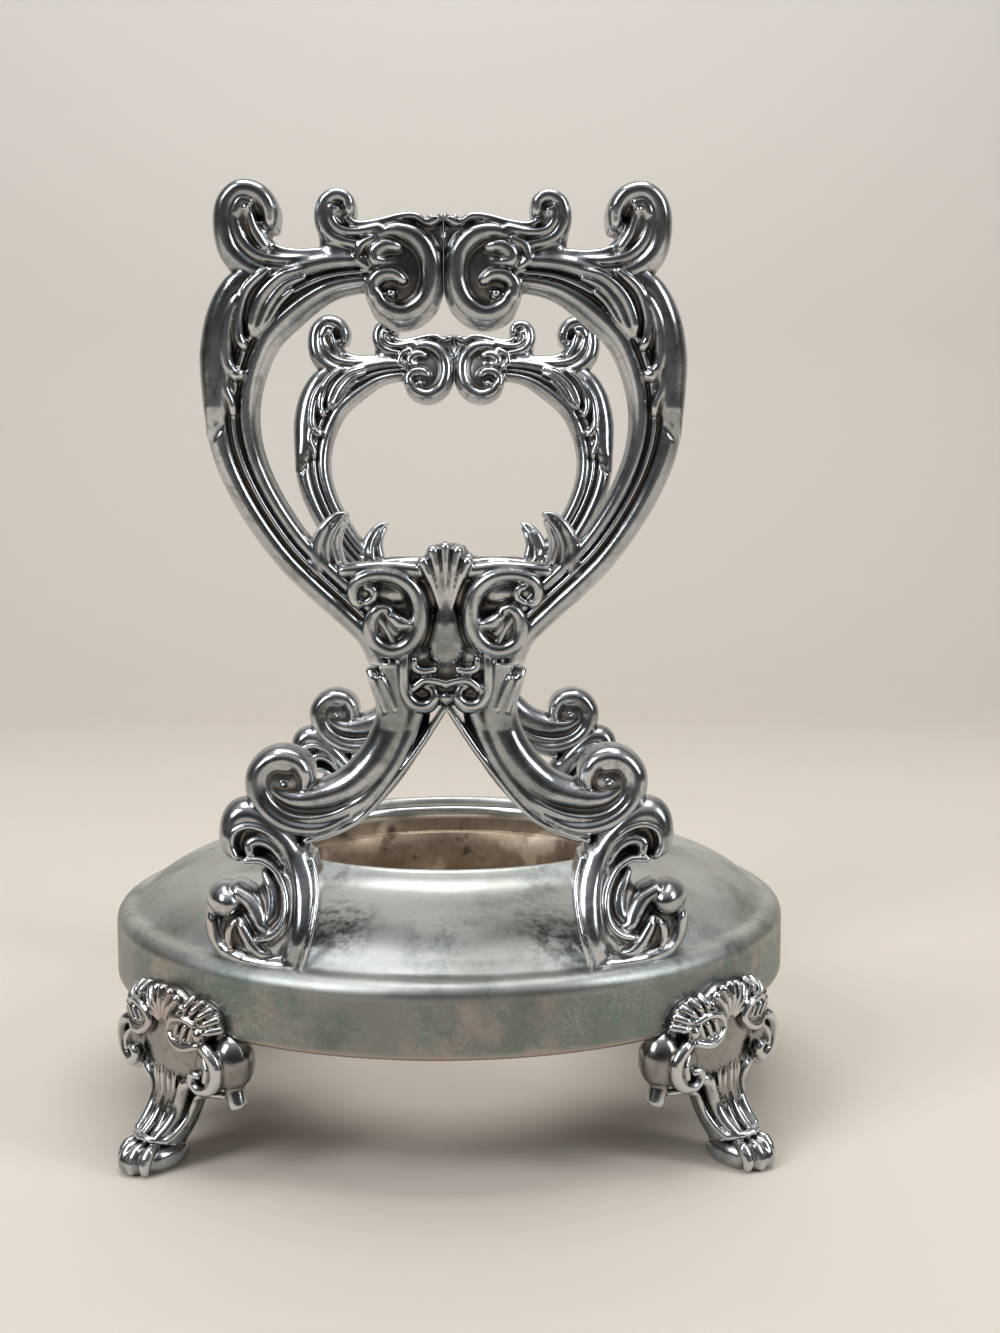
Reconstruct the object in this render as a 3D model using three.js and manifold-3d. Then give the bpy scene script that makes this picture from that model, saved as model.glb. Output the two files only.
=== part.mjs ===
import * as THREE from 'three';
import { mergeVertices } from 'three/addons/utils/BufferGeometryUtils.js';
import Module from 'manifold-3d';

const wasm = await Module();
wasm.setup();

// Driving dimensions, mm. Origin on the table under the middle of the base, +Z up, front frame at -Y.

// Spun base
const BASE_RADIUS = 84;
const BASE_BOTTOM = 30;
const WALL_HEIGHT = 12.5;
const SHOULDER_ROLL = 3.5;
const DOME_RISE = 13.8;
const COLLAR_RADIUS = 47.7;
const COLLAR_RISE = 4.7;
const COLLAR_TURN_DOWN = 4;
const RIM_TURN = 0.5;
const SHEET = 1.2;
const BASE_SEGMENTS = 40;

// Liner of the burner well
const LINER_WALL = 1.3;
const LINER_DROP = 2.6;
const LINER_UPPER_BAND = 7;
const LINER_LEDGE = 1.4;
const LINER_LOWER_BAND = 13;
const LINER_SEGMENTS = 32;

// Scroll frames
const FRAME_HALF_WIDTH = 48.4;
const YOKE_HEIGHT = 94.5;
const ARM_HEIGHT = 36.8;
const FOOT_SCROLL_HEIGHT = 37.5;
const ARM_OVERLAP = 7.8;
const LIMB_WIDTH = 10;
const FRAME_THICKNESS = 11;
const YOKE_DEPTH = 5;
const ARM_DEPTH = 5;
const CURL_DEPTH = 5.6;
const WEB_DEPTH = 2.2;
const LEAN_SLOPE = 0.19;

// How far inside the wall of the base the front face of a frame stands, at its foot and higher up
const SCROLL_FOOT_INSET = 5;
const FRAME_INSET = 18;

// Waist ornament
const CARTOUCHE_HALF_WIDTH = 20.6;
const CARTOUCHE_HEIGHT = 36.5;
const CARTOUCHE_DROP = 10.5;
const CARTOUCHE_DEPTH = 6.2;
const SADDLE_DROP = 4.6;
const SADDLE_START = 7;

// Paw feet
const FOOT_ANGLE = 45;
const PAW_REACH = 9;
const PAW_LENGTH = 13;
const PAW_WIDTH = 11;
const LEG_WIDTH = 11;
const PAW_HEIGHT = 6.5;
const SHIELD_WIDTH = 21;
const SHIELD_HEIGHT = 20;
const SHIELD_DEPTH = 5;
const CREST_HEIGHT = 5.5;
const CREST_RISE = 10.5;
const BULGE_SPREAD = 15.5;
const BULGE_SIZE = 6;

// Gap between neighbouring castings
const SOLDER_GAP = 0.3;

// Sides of a swept limb and of a rounded boss
const LIMB_SIDES = 6;
const BOSS_SEGMENTS = 8;
const BOSS_RINGS = 5;

const SHOULDER_Z = BASE_BOTTOM + WALL_HEIGHT;
const DOME_TOP = SHOULDER_Z + DOME_RISE;
const RIM_Z = DOME_TOP + COLLAR_RISE;

// Middle plane of a frame, and the radius that it bends round to at its foot
const FRAME_MIDDLE = BASE_RADIUS - FRAME_INSET - FRAME_THICKNESS / 2;
const SCROLL_FOOT_MIDDLE = BASE_RADIUS - SCROLL_FOOT_INSET - FRAME_THICKNESS / 2;

// Levels of a frame, from the shoulder of the base up
const ARM_BOTTOM = SHOULDER_Z + FOOT_SCROLL_HEIGHT - ARM_OVERLAP;
const WAIST_SEAM = ARM_BOTTOM + ARM_HEIGHT;
const FRAME_TOP = WAIST_SEAM + YOKE_HEIGHT;
const CARTOUCHE_BOTTOM = WAIST_SEAM - CARTOUCHE_DROP;
const SADDLE_Z = CARTOUCHE_BOTTOM + CARTOUCHE_HEIGHT - SADDLE_DROP;

// Each casting of a frame is drawn flat, in percent: across from the middle of the frame to its side, up
// from the foot of the casting to its top, and half widths in percent of the limb width
const YOKE_BOX = { across: FRAME_HALF_WIDTH, foot: WAIST_SEAM, height: YOKE_HEIGHT };
const ARM_BOX = { across: FRAME_HALF_WIDTH, foot: ARM_BOTTOM, height: ARM_HEIGHT };
const SCROLL_BOX = { across: FRAME_HALF_WIDTH, foot: SHOULDER_Z, height: FOOT_SCROLL_HEIGHT };
const CARTOUCHE_BOX = { across: CARTOUCHE_HALF_WIDTH, foot: CARTOUCHE_BOTTOM, height: CARTOUCHE_HEIGHT };

// Geometry to and from manifold solids

function toSolid(geometry) {
  const bare = geometry.clone();
  bare.deleteAttribute('normal');
  bare.deleteAttribute('uv');
  const merged = mergeVertices(bare, 1e-4);
  return new wasm.Manifold(new wasm.Mesh({
    numProp: 3,
    vertProperties: new Float32Array(merged.attributes.position.array),
    triVerts: new Uint32Array(merged.index.array),
  }));
}

function toGeometry(solid) {
  const mesh = solid.getMesh();
  const geometry = new THREE.BufferGeometry();
  geometry.setAttribute('position', new THREE.BufferAttribute(new Float32Array(mesh.vertProperties), 3));
  geometry.setIndex(new THREE.BufferAttribute(new Uint32Array(mesh.triVerts), 1));
  return geometry;
}

function join(solids) {
  return solids.reduce((whole, solid) => whole.add(solid));
}

function bentGeometry(geometry, bend) {
  const bent = geometry.clone();
  const position = bent.attributes.position;
  const point = new THREE.Vector3();
  for (let i = 0; i < position.count; i += 1) {
    point.fromBufferAttribute(position, i);
    bend(point);
    position.setXYZ(i, point.x, point.y, point.z);
  }
  return bent;
}

// A drawn point in percent to mm: across, up, then any half sizes

function drawn([across, up, ...halfSizes], box) {
  const mm = (percent, whole) => (percent / 100) * whole;
  return [
    mm(across, box.across),
    box.foot + mm(up, box.height),
    ...halfSizes.map((half) => mm(half, LIMB_WIDTH)),
  ];
}

function drawnLimb(points, box, depth, steps, grow = 0) {
  return toSolid(limb(points.map((point) => drawn(point, box)), depth, steps, grow));
}

function drawnBoss(point, box, depth, grow = 0) {
  const [x, z, halfWidth, halfHeight] = drawn(point, box);
  return boss([x, 0, z], [halfWidth, depth, halfHeight], grow);
}

// A closed limb along a smooth line in the XZ plane. Each point is x, z and half width. The half depth
// along Y is the same all along, apart from narrow ends, where it tapers with the width.

function limb(points, depth, steps, grow = 0) {
  const line = new THREE.CatmullRomCurve3(points.map(([x, z]) => new THREE.Vector3(x, 0, z)));
  const rings = [];
  const flatShare = Math.cos(Math.PI / LIMB_SIDES);
  const addRing = (centre, side, halfWidth, halfDepth) => {
    const ring = [];
    for (let i = 0; i < LIMB_SIDES; i += 1) {
      const angle = (2 * Math.PI * i) / LIMB_SIDES;
      const point = centre.clone().addScaledVector(side, halfWidth * Math.cos(angle));
      point.y = (halfDepth / flatShare) * Math.sin(angle);
      ring.push(point);
    }
    rings.push(ring);
  };
  const frameAt = (t) => {
    const tangent = line.getTangent(t);
    const side = new THREE.Vector3(tangent.z, 0, -tangent.x);
    const spot = t * (points.length - 1);
    const before = Math.min(Math.floor(spot), points.length - 2);
    const width = THREE.MathUtils.lerp(points[before][2], points[before + 1][2], spot - before) + grow;
    return { centre: line.getPoint(t), tangent, side, width };
  };
  const capShare = 0.7;
  const start = frameAt(0);
  const end = frameAt(1);
  const half = depth + grow;
  const taper = (width) => half * Math.min(1, width / (0.55 * half));
  addRing(start.centre.clone().addScaledVector(start.tangent, -capShare * start.width), start.side,
    capShare * start.width, capShare * taper(start.width));
  for (let i = 0; i <= steps; i += 1) {
    const at = frameAt(i / steps);
    addRing(at.centre, at.side, at.width, taper(at.width));
  }
  addRing(end.centre.clone().addScaledVector(end.tangent, capShare * end.width), end.side,
    capShare * end.width, capShare * taper(end.width));
  return closedTube(rings, start.centre.clone().addScaledVector(start.tangent, -start.width),
    end.centre.clone().addScaledVector(end.tangent, end.width));
}

function closedTube(rings, firstPole, lastPole) {
  const sides = rings[0].length;
  const points = [...rings.flat(), firstPole, lastPole];
  const index = [];
  for (let r = 0; r < rings.length - 1; r += 1) {
    for (let i = 0; i < sides; i += 1) {
      const next = (i + 1) % sides;
      const a = r * sides + i;
      const b = r * sides + next;
      const c = (r + 1) * sides + next;
      const d = (r + 1) * sides + i;
      index.push(a, b, c, a, c, d);
    }
  }
  const first = points.length - 2;
  const last = points.length - 1;
  const lastRing = (rings.length - 1) * sides;
  for (let i = 0; i < sides; i += 1) {
    const next = (i + 1) % sides;
    index.push(first, next, i, last, lastRing + i, lastRing + next);
  }
  const geometry = new THREE.BufferGeometry();
  const places = points.flatMap((point) => [point.x, point.y, point.z]);
  geometry.setAttribute('position', new THREE.Float32BufferAttribute(places, 3));
  geometry.setIndex(index);
  return facingOut(geometry);
}

// A mirrored or reversed sweep comes out inside out, so its triangles are turned where the volume is negative

function facingOut(geometry) {
  const position = geometry.attributes.position;
  const index = geometry.index.array;
  const [a, b, c] = [new THREE.Vector3(), new THREE.Vector3(), new THREE.Vector3()];
  let volume = 0;
  for (let i = 0; i < index.length; i += 3) {
    a.fromBufferAttribute(position, index[i]);
    b.fromBufferAttribute(position, index[i + 1]);
    c.fromBufferAttribute(position, index[i + 2]);
    volume += a.dot(b.cross(c));
  }
  if (volume < 0) {
    for (let i = 0; i < index.length; i += 3) {
      [index[i + 1], index[i + 2]] = [index[i + 2], index[i + 1]];
    }
  }
  return geometry;
}

// An ellipsoid boss: centre and half sizes along X, Y and Z

function boss([x, y, z], [rx, ry, rz], grow = 0) {
  const geometry = new THREE.SphereGeometry(1, BOSS_SEGMENTS, BOSS_RINGS);
  geometry.rotateX(Math.PI / 2);
  geometry.scale(rx + grow, ry + grow, rz + grow);
  geometry.translate(x, y, z);
  return toSolid(geometry);
}

function block(low, high) {
  const size = high.map((value, i) => value - low[i]);
  const geometry = new THREE.BoxGeometry(...size);
  geometry.translate(...low.map((value, i) => value + size[i] / 2));
  return toSolid(geometry);
}

// Blocks that trim a flat casting reach past all of it

const ROOM = 2 * BASE_RADIUS;
const ROOM_TOP = FRAME_TOP + BASE_RADIUS;

// Everything left of the seam in the middle of a frame is cut away from a right-hand casting

function rightOfSeam(solid) {
  return solid.subtract(block([-ROOM, -ROOM, 0], [SOLDER_GAP / 2, ROOM, ROOM_TOP]));
}

// The yoke ends and the arm begins at a level seam in the waist, behind the cartouche

function aboveWaist(solid) {
  return solid.subtract(block([-ROOM, -ROOM, 0], [ROOM, ROOM, WAIST_SEAM + SOLDER_GAP / 2]));
}

function belowWaist(solid) {
  return solid.subtract(block([-ROOM, -ROOM, WAIST_SEAM - SOLDER_GAP / 2], [ROOM, ROOM, ROOM_TOP]));
}

// Outer line of the spun base, from the foot of the wall up to the rim, as radius and height

function baseOuterLine() {
  const line = [new THREE.Vector2(BASE_RADIUS, BASE_BOTTOM), new THREE.Vector2(BASE_RADIUS, SHOULDER_Z)];
  const rollSteps = 3;
  for (let i = 1; i <= rollSteps; i += 1) {
    const angle = (i / rollSteps) * THREE.MathUtils.degToRad(75);
    line.push(new THREE.Vector2(
      BASE_RADIUS - SHOULDER_ROLL * (1 - Math.cos(angle)),
      SHOULDER_Z + SHOULDER_ROLL * Math.sin(angle),
    ));
  }
  const shoulder = line[line.length - 1];
  const reach = shoulder.x - COLLAR_RADIUS;
  const dome = (share, height) => new THREE.Vector2(
    shoulder.x - share * reach,
    THREE.MathUtils.lerp(shoulder.y, DOME_TOP, height),
  );
  line.push(dome(0.06, 0.08), dome(0.16, 0.36), dome(0.34, 0.69), dome(0.6, 0.93), dome(0.78, 1));
  line.push(new THREE.Vector2(COLLAR_RADIUS + 0.85 * COLLAR_RISE, DOME_TOP + 0.28 * COLLAR_RISE));
  line.push(new THREE.Vector2(COLLAR_RADIUS + 0.3 * COLLAR_RISE, DOME_TOP + 0.7 * COLLAR_RISE));
  line.push(new THREE.Vector2(COLLAR_RADIUS - RIM_TURN, RIM_Z));
  return line;
}

// The same line moved inwards by a distance square to itself

function offsetLine(line, distance) {
  return line.map((point, i) => {
    const before = line[Math.max(i - 1, 0)];
    const after = line[Math.min(i + 1, line.length - 1)];
    const along = after.clone().sub(before).normalize();
    return new THREE.Vector2(point.x - distance * along.y, point.y + distance * along.x);
  });
}

function lathe(profile, segments) {
  const geometry = new THREE.LatheGeometry([...profile, profile[0].clone()], segments);
  geometry.rotateX(Math.PI / 2);
  return toSolid(facingOut(mergeVertices(stripped(geometry), 1e-4)));
}

function stripped(geometry) {
  geometry.deleteAttribute('normal');
  geometry.deleteAttribute('uv');
  return geometry;
}

const COLLAR_INNER_RADIUS = COLLAR_RADIUS - RIM_TURN - SHEET;
const COLLAR_FOOT_Z = RIM_Z - COLLAR_TURN_DOWN;

// The sheet is folded over at the rim and turned down inside the collar

function baseShell() {
  const outer = baseOuterLine();
  const inner = offsetLine(outer.slice(0, -1), SHEET);
  const foldInside = [
    new THREE.Vector2(COLLAR_INNER_RADIUS, RIM_Z - RIM_TURN),
    new THREE.Vector2(COLLAR_INNER_RADIUS, COLLAR_FOOT_Z),
    new THREE.Vector2(COLLAR_INNER_RADIUS + SHEET, COLLAR_FOOT_Z),
  ];
  return lathe([...outer, ...foldInside, ...inner.reverse()], BASE_SEGMENTS);
}

// The space that the base fills, grown by the solder gap, which cuts what stands on it or hangs on it

function baseSpace() {
  const skin = offsetLine(baseOuterLine(), -SOLDER_GAP);
  const floor = BASE_BOTTOM - SOLDER_GAP;
  const rim = skin[skin.length - 1];
  skin[0].y = floor;
  return lathe([new THREE.Vector2(0, floor), ...skin, new THREE.Vector2(0, rim.y)], BASE_SEGMENTS);
}

function burnerRing() {
  const outside = COLLAR_INNER_RADIUS - SOLDER_GAP;
  const top = RIM_Z - LINER_DROP;
  const bore = outside - LINER_WALL;
  const ledge = top - LINER_UPPER_BAND;
  const foot = ledge - LINER_LOWER_BAND;
  const lowerBore = bore - LINER_LEDGE;
  const lip = 0.4 * LINER_WALL;
  return lathe([
    new THREE.Vector2(outside, top - lip),
    new THREE.Vector2(outside - lip, top),
    new THREE.Vector2(bore + 0.5 * lip, top - lip),
    new THREE.Vector2(bore, top - LINER_WALL),
    new THREE.Vector2(bore, ledge),
    new THREE.Vector2(lowerBore, ledge),
    new THREE.Vector2(lowerBore, foot),
    new THREE.Vector2(lowerBore + LINER_WALL, foot),
    new THREE.Vector2(lowerBore + LINER_WALL, ledge - 1.7 * LINER_WALL),
    new THREE.Vector2(outside, ledge - LINER_WALL),
  ], LINER_SEGMENTS);
}

// Scroll frame, right half, drawn flat in the XZ plane with its middle at Y 0

function yokeHalf() {
  const loop = [
    [6.2, 83.1, 30], [31, 82.8, 34], [47.5, 81.7, 44], [65.1, 78.1, 64], [78.5, 71.5, 64], [85.5, 63, 60],
    [88.2, 54.5, 57], [86.6, 46.6, 54], [81.4, 39.2, 50], [73.6, 31.7, 48], [63.8, 24.8, 47],
    [52.3, 18.6, 47], [40.5, 12.9, 46], [30, 6.9, 45], [24.8, 0.8, 36],
  ];
  const outerCurlStem = [[74.4, 79.4, 40], [81.8, 85.2, 42], [84.7, 91, 30]];
  const innerCurlStem = [[42.4, 83.6, 30], [42.6, 89.9, 26]];
  const crestScroll = [
    [25.6, 87.4, 32], [14.5, 89.3, 32], [5, 86.2, 34], [5, 78.3, 36], [15.3, 74.5, 33], [24.8, 76.8, 29],
    [23.6, 81.5, 24],
  ];
  const horn = [[53.7, 22.2, 30], [52.5, 26.5, 28], [49.2, 30.5, 21], [44.6, 32.6, 12]];
  return rightOfSeam(join([
    drawnLimb(loop, YOKE_BOX, YOKE_DEPTH, 17),
    drawnLimb(outerCurlStem, YOKE_BOX, YOKE_DEPTH, 3),
    drawnBoss([78.5, 93.4, 62, 62], YOKE_BOX, CURL_DEPTH),
    drawnLimb(innerCurlStem, YOKE_BOX, 0.8 * YOKE_DEPTH, 2),
    drawnBoss([42.4, 93, 41, 41], YOKE_BOX, 0.9 * YOKE_DEPTH),
    drawnLimb(crestScroll, YOKE_BOX, CURL_DEPTH, 10),
    drawnBoss([15.5, 82, 55, 70], YOKE_BOX, WEB_DEPTH),
    drawnBoss([0, 92.7, 26, 18], YOKE_BOX, 0.8 * YOKE_DEPTH),
    drawnLimb(horn, YOKE_BOX, 0.8 * YOKE_DEPTH, 3),
  ]));
}

// The arm, and with grow the space that it fills, which cuts the scroll that carries it

function armHalf(grow = 0) {
  const arm = [
    [18.6, 89.1, 52], [18.4, 71.5, 55], [22.5, 52.7, 53], [30.2, 37, 50], [39, 25.5, 49], [50.8, 16.3, 51],
    [64, 13.6, 50], [75.6, 20.1, 44],
  ];
  const leafTip = [[26, 75.5, 20], [30.2, 87.8, 18], [33.5, 95.7, 7]];
  return join([
    drawnLimb(arm, ARM_BOX, ARM_DEPTH, 11, grow),
    drawnBoss([74, 32.3, 68, 64], ARM_BOX, CURL_DEPTH, grow),
    drawnLimb(leafTip, ARM_BOX, 0.7 * ARM_DEPTH, 3, grow),
  ]);
}

function scrollHalf() {
  const stem = [
    [81.6, 85.3, 36], [71.5, 74.4, 40], [64.9, 58.7, 38], [63.6, 40, 37], [65.7, 22.7, 38], [73.3, 13.6, 40],
    [84.7, 12.5, 42], [95, 16.3, 40],
  ];
  return join([
    drawnLimb(stem, SCROLL_BOX, ARM_DEPTH, 11),
    drawnBoss([88.2, 81.3, 64, 68], SCROLL_BOX, CURL_DEPTH),
    drawnBoss([90.9, 34.1, 74, 72], SCROLL_BOX, CURL_DEPTH),
    drawnBoss([78.5, 36, 60, 60], SCROLL_BOX, WEB_DEPTH),
  ]);
}

// Waist ornament, both halves in one casting, with a level saddle on each side of its shell for the vessel
// to rest on. The grown copy cuts the castings that it overlaps.

function cartouche(grow) {
  const shieldAndShell = [[0, 23.3, 60], [0, 47.9, 56], [0, 69.9, 42], [0, 86.3, 50]];
  const saddleBar = [[-77.7, 75.3, 46], [0, 69.9, 40], [77.7, 75.3, 46]];
  const scroll = [
    [82.5, 77, 24], [60.7, 81.9, 25], [38.8, 78.1, 25], [28.6, 63, 24], [32.5, 45.8, 25], [51, 40, 26],
    [69.9, 44.1, 24],
  ];
  const bosses = [[82.5, 69.9, 35, 36], [57.3, 53.4, 48, 46], [26.2, 12.3, 43, 46]];
  const solids = [
    drawnLimb(shieldAndShell, CARTOUCHE_BOX, 0.9 * CARTOUCHE_DEPTH, 5, grow),
    drawnLimb(saddleBar, CARTOUCHE_BOX, YOKE_DEPTH, 4, grow),
  ];
  for (const side of [1, -1]) {
    const turned = ([across, ...rest]) => [side * across, ...rest];
    solids.push(drawnLimb(scroll.map(turned), CARTOUCHE_BOX, CARTOUCHE_DEPTH, 8, grow));
    for (const point of bosses) {
      solids.push(drawnBoss(turned(point), CARTOUCHE_BOX, CARTOUCHE_DEPTH, grow));
    }
  }
  const overSaddle = SADDLE_Z + grow;
  return join(solids)
    .subtract(block([SADDLE_START, -ROOM, overSaddle], [ROOM, ROOM, ROOM_TOP]))
    .subtract(block([-ROOM, -ROOM, overSaddle], [-SADDLE_START, ROOM, ROOM_TOP]));
}

// From the flat drawing to the standing frame: it leans outwards above the waist, and the lowest scrolls
// bend round to follow the shoulder of the base

function standFrame(point) {
  const leanStart = ARM_BOTTOM + 0.62 * ARM_HEIGHT;
  const bendBottom = SHOULDER_Z + 0.2 * FOOT_SCROLL_HEIGHT;
  const bendTop = SHOULDER_Z + 0.79 * FOOT_SCROLL_HEIGHT;
  const straight = FRAME_MIDDLE + LEAN_SLOPE * Math.max(point.z - leanStart, 0);
  const across = Math.min(Math.abs(point.x), SCROLL_FOOT_MIDDLE);
  const round = Math.sqrt(SCROLL_FOOT_MIDDLE ** 2 - across ** 2);
  const share = 1 - THREE.MathUtils.smoothstep(point.z, bendBottom, bendTop);
  point.y -= THREE.MathUtils.lerp(straight, round, share);
}

function mirrorX(geometry) {
  return facingOut(bentGeometry(geometry, (point) => {
    point.x *= -1;
  }));
}

// Castings of one frame as flat solids, then standing at the front, cut clear of each other and the base

function frameCastings(base) {
  const waist = cartouche(SOLDER_GAP);
  const flat = {
    yoke: aboveWaist(yokeHalf()).subtract(waist),
    arm: belowWaist(rightOfSeam(armHalf())).subtract(waist),
    scroll: scrollHalf().subtract(armHalf(SOLDER_GAP)),
  };
  const standing = {};
  for (const [name, solid] of Object.entries(flat)) {
    const right = bentGeometry(toGeometry(largest(solid)), standFrame);
    standing[`${name}_right`] = right;
    standing[`${name}_left`] = mirrorX(right);
  }
  for (const side of ['right', 'left']) {
    const name = `scroll_${side}`;
    standing[name] = toGeometry(largest(toSolid(standing[name]).subtract(base)));
  }
  standing.cartouche = bentGeometry(toGeometry(cartouche(0)), standFrame);
  return standing;
}

// A cut can leave loose crumbs, and a casting is its largest body

function largest(solid) {
  return solid.decompose().sort((a, b) => b.volume() - a.volume())[0];
}

// One paw foot, drawn pointing along -Y, so that Y is minus the distance from the middle of the base. Its
// crest and its side volutes wrap round the wall of the base.

function wrapRound(geometry, radius) {
  return bentGeometry(geometry, (point) => {
    const distance = radius - point.y;
    const angle = point.x / radius;
    point.x = distance * Math.sin(angle);
    point.y = -distance * Math.cos(angle);
  });
}

function pawFoot(base) {
  const out = (share) => BASE_RADIUS + share * PAW_REACH;
  const up = (share) => share * BASE_BOTTOM;
  const leg = [
    [out(-0.17), up(0.8), 0.5 * LEG_WIDTH], [out(-0.11), up(0.57), 0.42 * LEG_WIDTH],
    [out(0.17), up(0.37), 0.38 * LEG_WIDTH], [out(0.67), up(0.2), 0.35 * LEG_WIDTH],
    [out(1.17), up(0.13), 0.31 * LEG_WIDTH],
  ];
  const legSolid = toSolid(facingOut(bentGeometry(limb(leg, LEG_WIDTH / 2, 7), (point) => {
    [point.x, point.y] = [point.y, -point.x];
  })));
  const volutes = [
    [-BULGE_SPREAD, up(0.82), BULGE_SIZE], [-0.5 * BULGE_SPREAD, up(0.75), 0.77 * BULGE_SIZE],
    [0, up(0.72), 0.83 * BULGE_SIZE],
    [0.5 * BULGE_SPREAD, up(0.75), 0.77 * BULGE_SIZE], [BULGE_SPREAD, up(0.82), BULGE_SIZE],
  ];
  const crestMiddle = BASE_BOTTOM + CREST_RISE - CREST_HEIGHT;
  const crestSide = crestMiddle - 0.36 * CREST_HEIGHT;
  const crest = [
    [-0.48 * SHIELD_WIDTH, crestSide, 0.84 * CREST_HEIGHT], [0, crestMiddle, CREST_HEIGHT],
    [0.48 * SHIELD_WIDTH, crestSide, 0.84 * CREST_HEIGHT],
  ];
  const pawMiddle = 0.37 * PAW_HEIGHT;
  const solids = [
    legSolid,
    boss([0, -out(1.07), pawMiddle], [PAW_WIDTH / 2, PAW_LENGTH / 2, PAW_HEIGHT - pawMiddle]),
    boss([0, -BASE_RADIUS, up(0.95)], [SHIELD_WIDTH / 2, SHIELD_DEPTH, SHIELD_HEIGHT / 2]),
    toSolid(wrapRound(limb(volutes, SHIELD_DEPTH, 8), BASE_RADIUS - 0.1 * SHIELD_DEPTH)),
    toSolid(wrapRound(limb(crest, 0.8 * SHIELD_DEPTH, 4), BASE_RADIUS + 0.1 * SHIELD_DEPTH)),
  ];
  const underTable = block([-ROOM, -ROOM, -ROOM], [ROOM, 0, 0]);
  return largest(join(solids).subtract(base).subtract(underTable));
}

function silver(color, roughness) {
  return new THREE.MeshStandardMaterial({ color, roughness, metalness: 1 });
}

const stand = new THREE.Group();

function addPiece(name, geometry, material, turn = 0) {
  const mesh = new THREE.Mesh(geometry, material);
  mesh.name = name;
  mesh.rotation.z = THREE.MathUtils.degToRad(turn);
  stand.add(mesh);
}

const baseSolid = baseSpace();
addPiece('base_shell', toGeometry(baseShell()), silver(0x8a8f88, 0.42));
addPiece('burner_ring', toGeometry(burnerRing()), silver(0x7d6a54, 0.5));

const castings = frameCastings(baseSolid);
for (const [place, turn] of [['front', 0], ['rear', 180]]) {
  for (const [name, geometry] of Object.entries(castings)) {
    addPiece(`${place}_${name}`, geometry, silver(0x777a7c, 0.22), turn);
  }
}

const foot = toGeometry(pawFoot(baseSolid));
const feet = [
  ['front_right', FOOT_ANGLE], ['rear_right', 180 - FOOT_ANGLE],
  ['rear_left', 180 + FOOT_ANGLE], ['front_left', -FOOT_ANGLE],
];
for (const [place, turn] of feet) {
  addPiece(`paw_foot_${place}`, foot, silver(0x7b7e7c, 0.25), turn);
}

export default stand;
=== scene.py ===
import math

import bpy
import numpy as np
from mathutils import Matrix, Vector


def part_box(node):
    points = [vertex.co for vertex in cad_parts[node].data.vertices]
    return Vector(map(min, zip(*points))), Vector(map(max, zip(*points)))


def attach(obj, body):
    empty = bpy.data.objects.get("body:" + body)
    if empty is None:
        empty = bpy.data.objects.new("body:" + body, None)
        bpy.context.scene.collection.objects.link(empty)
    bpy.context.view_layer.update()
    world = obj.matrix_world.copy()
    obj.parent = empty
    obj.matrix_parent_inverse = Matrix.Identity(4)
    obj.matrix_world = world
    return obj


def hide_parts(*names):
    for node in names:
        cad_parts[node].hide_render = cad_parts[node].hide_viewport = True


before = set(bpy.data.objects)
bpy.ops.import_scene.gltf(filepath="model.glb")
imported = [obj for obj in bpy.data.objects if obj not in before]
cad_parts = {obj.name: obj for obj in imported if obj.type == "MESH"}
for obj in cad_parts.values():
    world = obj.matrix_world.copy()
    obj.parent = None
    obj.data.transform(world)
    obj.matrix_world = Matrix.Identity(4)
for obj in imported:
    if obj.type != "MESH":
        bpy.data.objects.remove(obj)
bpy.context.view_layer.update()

# All modelling below is in millimetres, and a mesh is scaled to metres when it is made

MM = 0.001
VOXEL = 0.3

# Spun base and liner, the same sizes as the frame's solids

BASE_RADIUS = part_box("base_shell")[1].x / MM
BASE_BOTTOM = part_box("base_shell")[0].z / MM
RIM_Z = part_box("base_shell")[1].z / MM
RING_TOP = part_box("burner_ring")[1].z / MM
RING_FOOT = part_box("burner_ring")[0].z / MM
RING_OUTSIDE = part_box("burner_ring")[1].x / MM
WALL_HEIGHT = 12.5
SHOULDER_Z = BASE_BOTTOM + WALL_HEIGHT
SHOULDER_ROLL = 3.5
SHEET = 1.2
COLLAR_RISE = 4.7
COLLAR_RADIUS = 47.7
COLLAR_ROUND = 0.5
COLLAR_HEM = 4
BASE_SEGMENTS = 256
LINER_WALL = 1.3
LEDGE_WIDTH = 1.4
LEDGE_DEPTH = 7
LINER_SEGMENTS = 192

# How the flat castings of a frame stand: their middle plane, its lean, and the bend of the scroll feet

FRAME_MIDDLE = 60.5
LEAN_START = 95
LEAN_SLOPE = 0.19
SCROLL_FOOT_OUT = 73.5
SCROLL_BEND_RADIUS = 95
SCROLL_BEND_TOP = 72
SCROLL_BEND_BOTTOM = 50

# How the castings meet: the two halves of a frame in a fine open seam, an arm a little inside the yoke above
# it, a scroll a little inside the dome, and a foot against the wall and under the edge of the base

SEAM = 0.05
WAIST_SEAM = 109
LAP = 0.5
SUNK = 0.15
WALL_GAP = 0.05
EDGE_GAP = 0.1

# The vessel's saddles lie on both sides of the shell of the cartouche

SADDLE_Z = 130.4
SADDLE_CLEAR = 0.2
SHELL_HALF_WIDTH = 7

# Each foot stands this many degrees from the front or the rear

FOOT_ANGLE = 45

# A field holds the distance to the surface on a grid of voxels, negative inside the metal, and EMPTY where no
# metal is near. A form changes it up to MARGIN around itself. FAR stands for no line near.

EMPTY = 4.0
FAR = 99.0
MARGIN = 1.6


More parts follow.
